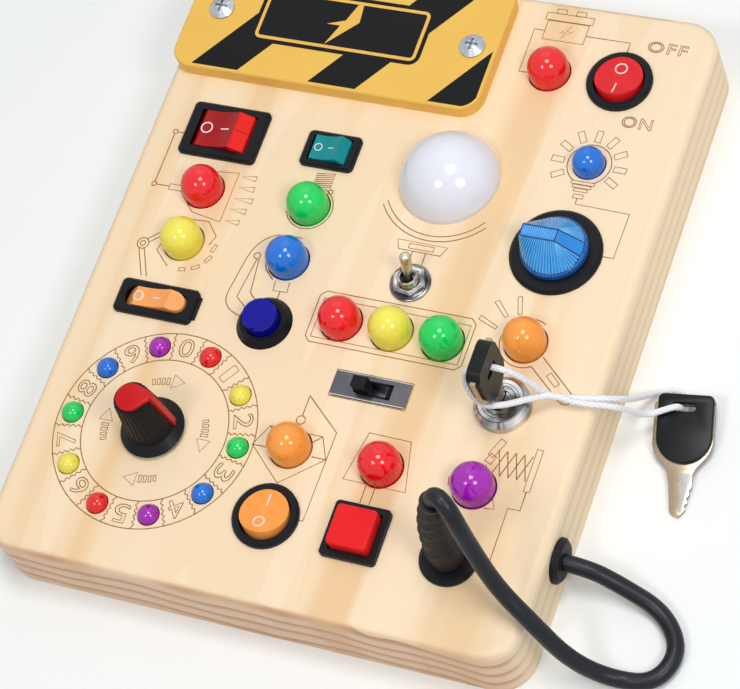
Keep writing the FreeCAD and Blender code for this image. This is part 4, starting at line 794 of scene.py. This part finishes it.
white_mark = finish("white_mark", paint(246, 242, 242), paint(238, 230, 230), 400, 0.5, 900, 0.01)
mark("red_rocker_marks", "red_rocker", "red_rocker", "red_plastic", white_mark, 0.3,
     arc((-76.0, 48.6), 2.1), dense((-69.9, 48.6), (-66.5, 48.6)))
# Painted shade: a dark red line on the paddle's end face stands for the shade in its crease.
painted_crease_shade = finish("painted_crease_shade", paint(120, 6, 10), paint(96, 2, 8), 300, 0.3)
mark("red_rocker_painted_crease_shade", "red_rocker", "red_rocker", "red_plastic", painted_crease_shade, 0.16,
     dense((-63.6, 48.5), (-58.8, 48.5)))
plate("orange_frame_step", ((-53.9, -27), (-52.5, -27), (-52.5, -18), (-53.9, -18)), 27.9, 1.1, black_plastic,
      "board", 0.3, 0.2)
mark("teal_rocker_marks", "teal_rocker", "teal_rocker", "teal_plastic", white_mark, 0.2,
     arc((-30.6, 48.3), 1.4), dense((-26.6, 48.3), (-24.2, 48.3)))
mark("orange_rocker_marks", "orange_rocker", "orange_rocker", "orange_plastic", white_mark, 0.26,
     arc((-76, -22.6), 1.8), dense((-69.6, -22.6), (-66.4, -22.6)))
mark("red_round_marks", "red_round", "red_round", "red_plastic", white_mark, 0.28,
     arc((69.6, 99.2), 2.1), dense((70, 87.8), (70, 92.4)))
mark("orange_round_marks", "orange_round", "orange_round", "orange_plastic", white_mark, 0.28,
     arc((0.5, -96.4), 1.9), dense((0.6, -89.8), (0.6, -85.6)))

# The push buttons: a navy cap in a black cone, and a red square cap in a black square frame. Each
# cap slides down against a spring.
dress(black_plastic, "blue_button_frame", "square_button_frame")
paddle("navy_cap", paint(2, 2, 158), paint(0, 0, 138), "blue_button", 0.12)
paddle("red_cap", paint(240, 34, 38), paint(226, 24, 30), "square_button", 0.4, Specular_IOR_Level=0.2)

# The slide switch: a polished steel plate let into the face, with a black slot and a black knob
# with fine ribs that slides in it.
plate_steel = finish("plate_steel", paint(120, 120, 124), paint(70, 70, 76), 60, 0.22, 1500, 0.01, Metallic=1.0)
dress(plate_steel, "slide_frame")
slide_x, slide_y = 20.8, -39.3
burn("slide_outline", box(slide_x - 14.5, slide_y - 5.2, slide_x + 14.5, slide_y + 5.2))
# Painted highlight: bright steel beads along the plate's long edges stand for light caught on them.
slide_edges = tubes("slide_edges", [line((slide_x - 13.9, slide_y + side * 4.6, 28.62),
                                         (slide_x + 13.9, slide_y + side * 4.6, 28.62)) for side in (-1, 1)], 0.22)
painted_highlight_steel = finish("painted_highlight_steel", paint(222, 216, 214), paint(190, 184, 182), 200, 0.3, Metallic=1.0)
add_piece("slide_edges", slide_edges, painted_highlight_steel, "board")
bed_black = finish("bed_black", paint(8, 8, 12), paint(12, 12, 17), 300, 0.5, Specular_IOR_Level=0.1)
slot_edges = ((slide_x - 4, slide_x - 3.2, -2.7, 2.7), (slide_x + 6.2, slide_x + 7.9, -2.7, 2.7),
              (slide_x - 4, slide_x + 7.9, 2.2, 2.9), (slide_x - 4, slide_x + 7.9, -2.9, -2.2))
for i, (left, right, low, high) in enumerate(slot_edges):
    plate(f"slide_bed_{i}", ((left, slide_y + low), (right, slide_y + low), (right, slide_y + high),
                             (left, slide_y + high)), 28.5, 0.2, bed_black, "board")
dress(black_plastic, "slide_knob")

# The toggle: a threaded bush with a hex nut over a plain washer, and a bat lever that tips in
# it, all turned from brass and chromed. The bush and nut clamp the switch to the face.


def turned_chrome(name, x, y, pale, dark):
    """Chrome on a turned face with painted sheen: bright and dark sectors fan out from the centre, and fine painted
    rings stand for tool rings catching the light.
    """
    material = finish(name, pale, pale, 300, 0.2, 900, 0.008, Metallic=1.0)
    tree = material.node_tree

    def step(kind, a, b=0.0):
        return node_math(tree, kind, a, b)

    across, along, _ = object_axes(tree)
    aside = step("SUBTRACT", across, x * mm)
    above = step("SUBTRACT", along, y * mm)
    around = step("ARCTAN2", above, aside)
    out = step("SQRT", step("ADD", step("MULTIPLY", aside, aside), step("MULTIPLY", above, above)))
    wide = step("SINE", step("ADD", step("MULTIPLY", around, 3), 0.8))
    narrow = step("SINE", step("ADD", step("MULTIPLY", around, 7), step("MULTIPLY", out, 900)))
    fan = step("ADD", step("MULTIPLY", wide, 0.32), step("MULTIPLY", narrow, 0.16))
    rings = step("MULTIPLY", step("SINE", step("MULTIPLY", out, 9000)), 0.04)
    # Painted sheen and reflection: the sectors and rings lighten and darken the chrome's colour.
    recolour(material, step("ADD", step("ADD", fan, rings), 0.46), dark)
    return material


def spun_mesh(name, profile, steps=64):
    """A turned solid: its half outline, in millimetres out from and along the axis, spun full round."""
    work = bmesh.new()
    spots = [work.verts.new((out * mm, 0, high * mm)) for out, high in profile]
    for a, b in zip(spots, spots[1:]):
        work.edges.new((a, b))
    bmesh.ops.spin(work, geom=[*work.verts, *work.edges], axis=(0, 0, 1), cent=(0, 0, 0), steps=steps,
                   angle=math.tau, use_merge=True)
    bmesh.ops.remove_doubles(work, verts=work.verts, dist=0.001 * mm)
    data = closed_mesh(name, work)
    data.shade_smooth()
    data.set_sharp_from_angle(angle=math.radians(35))
    return data


toggle_x, toggle_y = 20.8, 3.1
# Painted sheen on the toggle's chrome and on the washer's steel.
toggle_chrome = turned_chrome("toggle_chrome", toggle_x, toggle_y, paint(214, 212, 212), paint(84, 82, 84))
washer_steel = turned_chrome("washer_steel", toggle_x, toggle_y, paint(122, 120, 122), paint(62, 60, 62))
dress(toggle_chrome, "toggle_frame")
at_toggle = Matrix.Translation(Vector((toggle_x, toggle_y, face_high)) * mm)
washer = spun_mesh("toggle_washer", [(3.4, 0), (3.4, 0.75), (6.2, 0.95), (6.4, 0.8), (6.6, 0.92), (7.2, 0.85),
                                     (7.55, 0.6), (7.55, 0)])
washer.transform(at_toggle)
add_piece("toggle_washer", washer, washer_steel, "board")
nut_reach, nut_wall, nut_high, washer_high = 6.5, 1.9, 2.5, 0.85
nut = bmesh.new()
bmesh.ops.create_circle(nut, cap_ends=True, segments=6, radius=nut_reach * mm)
bmesh.ops.rotate(nut, verts=nut.verts, cent=(0, 0, 0), matrix=Matrix.Rotation(math.radians(22), 3, "Z"))
bmesh.ops.inset_region(nut, faces=nut.faces[:], thickness=nut_wall * mm, use_boundary=True)
middle = [face for face in nut.faces if face.calc_center_median().length < 0.1 * mm]
bmesh.ops.delete(nut, geom=middle, context="FACES_ONLY")
lifted = bmesh.ops.extrude_face_region(nut, geom=nut.faces[:])["geom"]
lifted = [item for item in lifted if isinstance(item, bmesh.types.BMVert)]
bmesh.ops.translate(nut, verts=lifted, vec=(0, 0, nut_high * mm))
brim = [edge for edge in nut.edges if all(v in lifted and v.co.xy.length > 5 * mm for v in edge.verts)]
bmesh.ops.bevel(nut, geom=brim, offset=0.7 * mm, segments=1, profile=0.5, affect="EDGES", material=-1)
nut_data = closed_mesh("toggle_nut", nut)
nut_data.transform(at_toggle @ Matrix.Translation((0, 0, washer_high * mm)))
add_piece("toggle_nut", nut_data, toggle_chrome, "board")
thread = [(4.05 - 0.22 * (i % 2), 2.6 + 0.32 * i) for i in range(7)]
bush = spun_mesh("toggle_bush", [(4.0, 0.9), *thread, (3.9, 4.9), (3.7, 5.4), (3.3, 5.45), (3.15, 5.1),
                                 (2.8, 3.4), (2.5, 0.9), (4.0, 0.9)])
bush.transform(at_toggle)
add_piece("toggle_bush", bush, toggle_chrome, "board")
lever_pivot, lever_lean = 2, -20
lever = spun_mesh("bat_lever", [(0, -1.4), (1.2, -1.1), (1.5, 0), (1.6, 2.6), (1.75, 4.4), (2.05, 8.5), (2.15, 10.4),
                                (2.1, 11.2), (1.8, 11.9), (1.2, 12.35), (0.55, 12.5), (0, 12.54)], 40)
lever_turn = Matrix.Rotation(math.radians(lever_lean), 4, "X")
lever.transform(at_toggle @ Matrix.Translation((0, 0, lever_pivot * mm)) @ lever_turn)
lever_chrome = finish("lever_chrome", paint(214, 208, 196), paint(176, 168, 156), 200, 0.28, 900, 0.008,
                      Metallic=1.0)
bat = add_piece("bat_lever", lever, lever_chrome, "toggle_lever")
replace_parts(bat, "toggle_lever")

# The key lock: a chromed cam lock with a turning plug, and two keys of nickel silver with black
# moulded grips. One key stands in the lock, the other hangs on the string over the board's side.
lock_x, lock_y = 68.8, -35.8
# Painted sheen on the lock's chrome and on its plug.
lock_chrome = turned_chrome("lock_chrome", lock_x, lock_y, paint(224, 222, 224), paint(112, 110, 114))
plug_chrome = turned_chrome("plug_chrome", lock_x, lock_y, paint(190, 188, 190), paint(70, 68, 72))
dress(lock_chrome, "lock_housing")
dress(plug_chrome, "lock_plug")
painted_groove_shade = finish("painted_groove_shade", paint(60, 58, 60), paint(40, 38, 40), 300, 0.4, Metallic=1.0)
# Painted shade: dark lines laid on the lock's face stand for the shade in its grooves.
mark("lock_grooves", "lock_housing", "board", "switch_chrome", painted_groove_shade, 0.13,
     arc((lock_x, lock_y), 8.2, steps=64), arc((lock_x, lock_y), 6.6, steps=64))
mark("lock_plug_grooves", "lock_plug", "lock_plug", "switch_chrome", painted_groove_shade, 0.13,
     arc((lock_x, lock_y), 5.4, steps=48), arc((lock_x, lock_y), 3.9, 40, 320, steps=48))
key_metal = finish("key_metal", paint(178, 160, 136), paint(146, 130, 110), 500, 0.26, 1400, 0.01, Metallic=1.0)
dress(key_metal, "key_blade", "spare_key_blade")
grip_plastic = finish("grip_plastic", paint(8, 9, 13), paint(15, 16, 21), 400, 0.34, 2400, 0.04,
                      Specular_IOR_Level=0.2)
dress(grip_plastic, "key_head", "spare_key_head")

spare_turn = Matrix(((0.979, -0.2027, 0.0267), (0.2045, 0.9705, -0.1277), (0, 0.1305, 0.9914))).to_4x4()
on_spare = Matrix.Translation(Vector((125.77, -32.3, 3.34)) * mm) @ spare_turn


def cut_plate(name, outlines, low, high, edge, material, body, place):
    """A flat part with holes: closed outlines filled, given a thickness and a rounded edge, then placed."""
    flat = curve_mesh(line_curve(name, outlines, dimensions="2D", fill_mode="BOTH",
                                 extrude=((high - low) / 2 - edge) * mm, bevel_depth=edge * mm,
                                 bevel_resolution=2, offset=-edge * mm))
    work = bmesh.new()
    work.from_mesh(flat)
    bmesh.ops.remove_doubles(work, verts=work.verts, dist=0.002 * mm)
    bmesh.ops.recalc_face_normals(work, faces=work.faces)
    work.to_mesh(flat)
    flat.transform(place @ Matrix.Translation((0, 0, (low + high) / 2 * mm)))
    flat.set_sharp_from_angle(angle=math.radians(35))
    return add_piece(name, flat, material, body)


spare_slot = [[*arc((3.6, 18.5), 1.5, -90, 90, 8)[0], *arc((-1.6, 18.8), 1.5, 90, 270, 8)[0]], True]
cover_line = [[*arc((-6, 21.8), 2, 90, 180, 6)[0], *arc((1.6, 8.4), 9.7, 180, 360, 28)[0],
               *arc((9.3, 20.8), 2, 0, 90, 6)[0]], True]
blade_line = [[(-7.8, 22.4), (-9.5, 20.6), *arc((0.8, 7.6), 10.4, 186, 236, 12)[0], (-3.9, -3.2), (-3.1, -7.8),
               (-2.1, -17.8), (-0.6, -19.4), (1, -19.8), (1.9, -18.8), (3.2, -17.2), (2.7, -15.8), (3.8, -14.8),
               (3.3, -13.2), (4.4, -12), (4, -10.6), (4.9, -9.4), (5, -4.6), (6, -2.6),
               *arc((0.9, 7.6), 10.5, -40, 0, 10)[0], (11.4, 19.8), (10, 21.4)], True]
spare_plate = cut_plate("spare_key_plate", [blade_line, spare_slot], -0.7, 0.7, 0.1, key_metal, "board",
                        on_spare)
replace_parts(spare_plate, "spare_key_blade")
spare_cover = cut_plate("spare_key_cover", [cover_line, spare_slot], -2.3, 2.6, 0.5, grip_plastic, "board",
                        on_spare)
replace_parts(spare_cover, "spare_key_head")
ground_steel = finish("ground_steel", paint(214, 212, 210), paint(176, 172, 168), 500, 0.2, 1200, 0.01,
                      Metallic=1.0)
bit_line = [[(1.3, -4.4), (4.9, -4.5), (4.8, -9.3), (3.9, -10.6), (4.3, -12), (3.2, -13.2), (3.7, -14.8),
             (2.6, -15.8), (3, -17.2), (1.7, -18.6), (1, -17.6)], True]
cut_plate("spare_key_bit", [bit_line], -0.78, 0.78, 0.05, ground_steel, "board", on_spare)

# The selector: a ten-way switch under the face, a black fluted knob on its shaft, and a red cap
# with a band that runs down the front of the knob as its pointer.
dress(black_plastic, "selector_switch", "selector_knob")
selector_red = paddle("selector_red", paint(208, 24, 32), paint(190, 14, 24), "selector_cap", 0.34,
                      Specular_IOR_Level=0.2)
pointing = 18
cap_round = arc(ring_spot, 5.2, pointing + 62, pointing + 298, 30)[0]
wedge_turn = Matrix.Rotation(math.radians(pointing), 2)
wedge_far = [tuple(Vector(ring_spot) + wedge_turn @ Vector((7.4, side * 1.3))) for side in (-1, 1)]
plate("selector_wedge", [*cap_round, *wedge_far], face_high + 24.9, 1.6, selector_red, "selector",
      edge=0.35)
flute_count = 26
flutes = []
for i in range(flute_count):
    around = pointing + 360 * (i + 0.5) / flute_count
    foot, top = (arc(ring_spot, far, around, around + 1, 1)[0][0] for far in (8.5, 6.25))
    flutes.append(line((*foot, face_high + 5.2), (*top, face_high + 24.2)))
flute_data = tubes("selector_flutes", flutes, 0.32)
flute_data.shade_smooth()
add_piece("selector_flutes", flute_data, black_plastic, "selector")

# The turning switch: a black dial and a knob of clear deep blue plastic with a tall fin, ribbed
# inside. Pale lines on the ribs carry painted glints, and dark lines along its edges carry painted shade.
dress(black_plastic, "rotary_switch")
lit_blue = finish("lit_blue", paint(24, 150, 228), paint(8, 116, 208), 260, 0.1, Specular_IOR_Level=0.5)
# Painted glints: pale lines on the ribs stand for light caught inside the clear knob.
painted_rib_glint = finish("painted_rib_glint", paint(120, 204, 246), paint(70, 170, 234), 300, 0.1, Specular_IOR_Level=0.6)
# Painted shade: dark lines along the fin's edges and the knob's rim.
painted_edge_shade = finish("painted_edge_shade", paint(8, 40, 128), paint(4, 28, 104), 300, 0.1, Specular_IOR_Level=0.6)
knob_x, knob_y = 68.4, 24.6
knob_reach = 11.6
fin_half = 2.4
fin_low, fin_top = 4.9, 13.6
base = spun_mesh("rotary_base", [(0, 2.4), (11.7, 2.4), (12, 2.7), (12, 4.5), (11.6, fin_low), (0, fin_low)])
base.transform(Matrix.Translation(Vector((knob_x, knob_y, face_high)) * mm))
rim_blue = finish("rim_blue", paint(22, 92, 186), paint(8, 46, 124), 300, 0.16, Specular_IOR_Level=0.4)
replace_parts(add_piece("rotary_base", base, rim_blue, "rotary"), "rotary_knob")
tent = bmesh.new()
bmesh.ops.create_circle(tent, segments=64, radius=knob_reach * mm)
for x, high in ((-10, fin_top), (3, fin_top), (11.4, 6.2)):
    for y in (-fin_half, fin_half):
        tent.verts.new((x * mm, y * mm, (high - fin_low) * mm))
bmesh.ops.convex_hull(tent, input=tent.verts)
tent_data = closed_mesh("rotary_tent", tent)
tent_data.transform(Matrix.Translation(Vector((knob_x, knob_y, face_high + fin_low)) * mm))
tent_data.shade_smooth()
tent_data.set_sharp_from_angle(angle=math.radians(25))
add_piece("rotary_tent", tent_data, lit_blue, "rotary")
fan = []
for side in (-1, 1):
    for i in range(26):
        at = math.radians(172 - 6.2 * i)
        start = (knob_x + min(3, -9.6 + 0.7 * i), knob_y + side * (fin_half + 0.2))
        rim = (knob_x + knob_reach * 0.97 * math.cos(at), knob_y + side * abs(knob_reach * 0.97 * math.sin(at)))
        fan.append(dense(start, rim))
# Painted glints on the fan of ribs and on the strip along the fin.
mark("rotary_fan_ribs", tent_data, "rotary", "clear_blue", painted_rib_glint, 0.17, *fan)
strip = [dense((knob_x - 9.3 + 0.8 * i, knob_y - 1.7), (knob_x - 9.3 + 0.8 * i, knob_y + 1.7), 4)
         for i in range(16)]
mark("rotary_strip_ribs", tent_data, "rotary", "clear_blue", painted_rib_glint, 0.2, *strip)
corners = [(knob_x + x, knob_y + y) for x, y in ((-9.9, -2.3), (2.9, -2.3), (2.9, 2.3), (-9.9, 2.3))]
# Painted shade along the fin's edges, its slopes and the rim.
mark("rotary_outline", tent_data, "rotary", "clear_blue", painted_edge_shade, 0.24,
     *[dense(a, b, 12) for a, b in zip(corners, corners[1:] + corners[:1])],
     *[dense((knob_x + 3, knob_y + side * 2.3), (knob_x + 10.9, knob_y + side * 2.6), 12) for side in (-1, 1)],
     arc((knob_x, knob_y), 11.3, steps=90))
side_ribs = [line((knob_x + 11.9 * math.cos(a), knob_y + 11.9 * math.sin(a), 30.6),
                  (knob_x + 11.8 * math.cos(a), knob_y + 11.8 * math.sin(a), 32.7))
             for a in [math.tau * i / 72 for i in range(72)]]
add_piece("rotary_side_ribs", tubes("rotary_side_ribs", side_ribs, 0.2), lit_blue, "rotary")

# The jack: a black socket ring in the face, and a plug with a ridged grip and a ribbed strain
# relief that tapers to the lead. The pin is nickel-plated.
dress(black_plastic, "jack_socket")
dress(finish("grip_rubber", paint(38, 34, 34), paint(50, 45, 44), 300, 0.5, 2000, 0.06,
             Specular_IOR_Level=0.2), "plug_grip")
# Painted highlight: the ridges are a lighter copy of the grip's rubber, lit where the grooves between them lie in
# shade.
ridges = [line((jack_spot.x + 6.05 * math.cos(a), jack_spot.y + 6.05 * math.sin(a), 31.4),
               (jack_spot.x + 6.0 * math.cos(a), jack_spot.y + 6.0 * math.sin(a), 41.2))
          for a in [math.tau * i / 36 for i in range(36)]]
painted_ridge_highlight = finish("painted_ridge_highlight", paint(66, 60, 58), paint(50, 45, 44), 300, 0.5, 2000, 0.04,
                      Specular_IOR_Level=0.2)
add_piece("plug_ridges", tubes("plug_ridges", ridges, 0.16), painted_ridge_highlight, "plug")
dress(finish("pin_nickel", paint(204, 200, 190), paint(176, 172, 160), 400, 0.16, 900, 0.01, Metallic=1.0),
      "plug_pin")

# The grommet: a soft rubber ring pressed into a hole in the board's right side, where the lead
# goes back in. It keeps the lead off the edge of the wood.
dress(finish("grommet_rubber", paint(15, 16, 20), paint(23, 24, 29), 300, 0.5, 1800, 0.05,
             Specular_IOR_Level=0.2), "grommet")
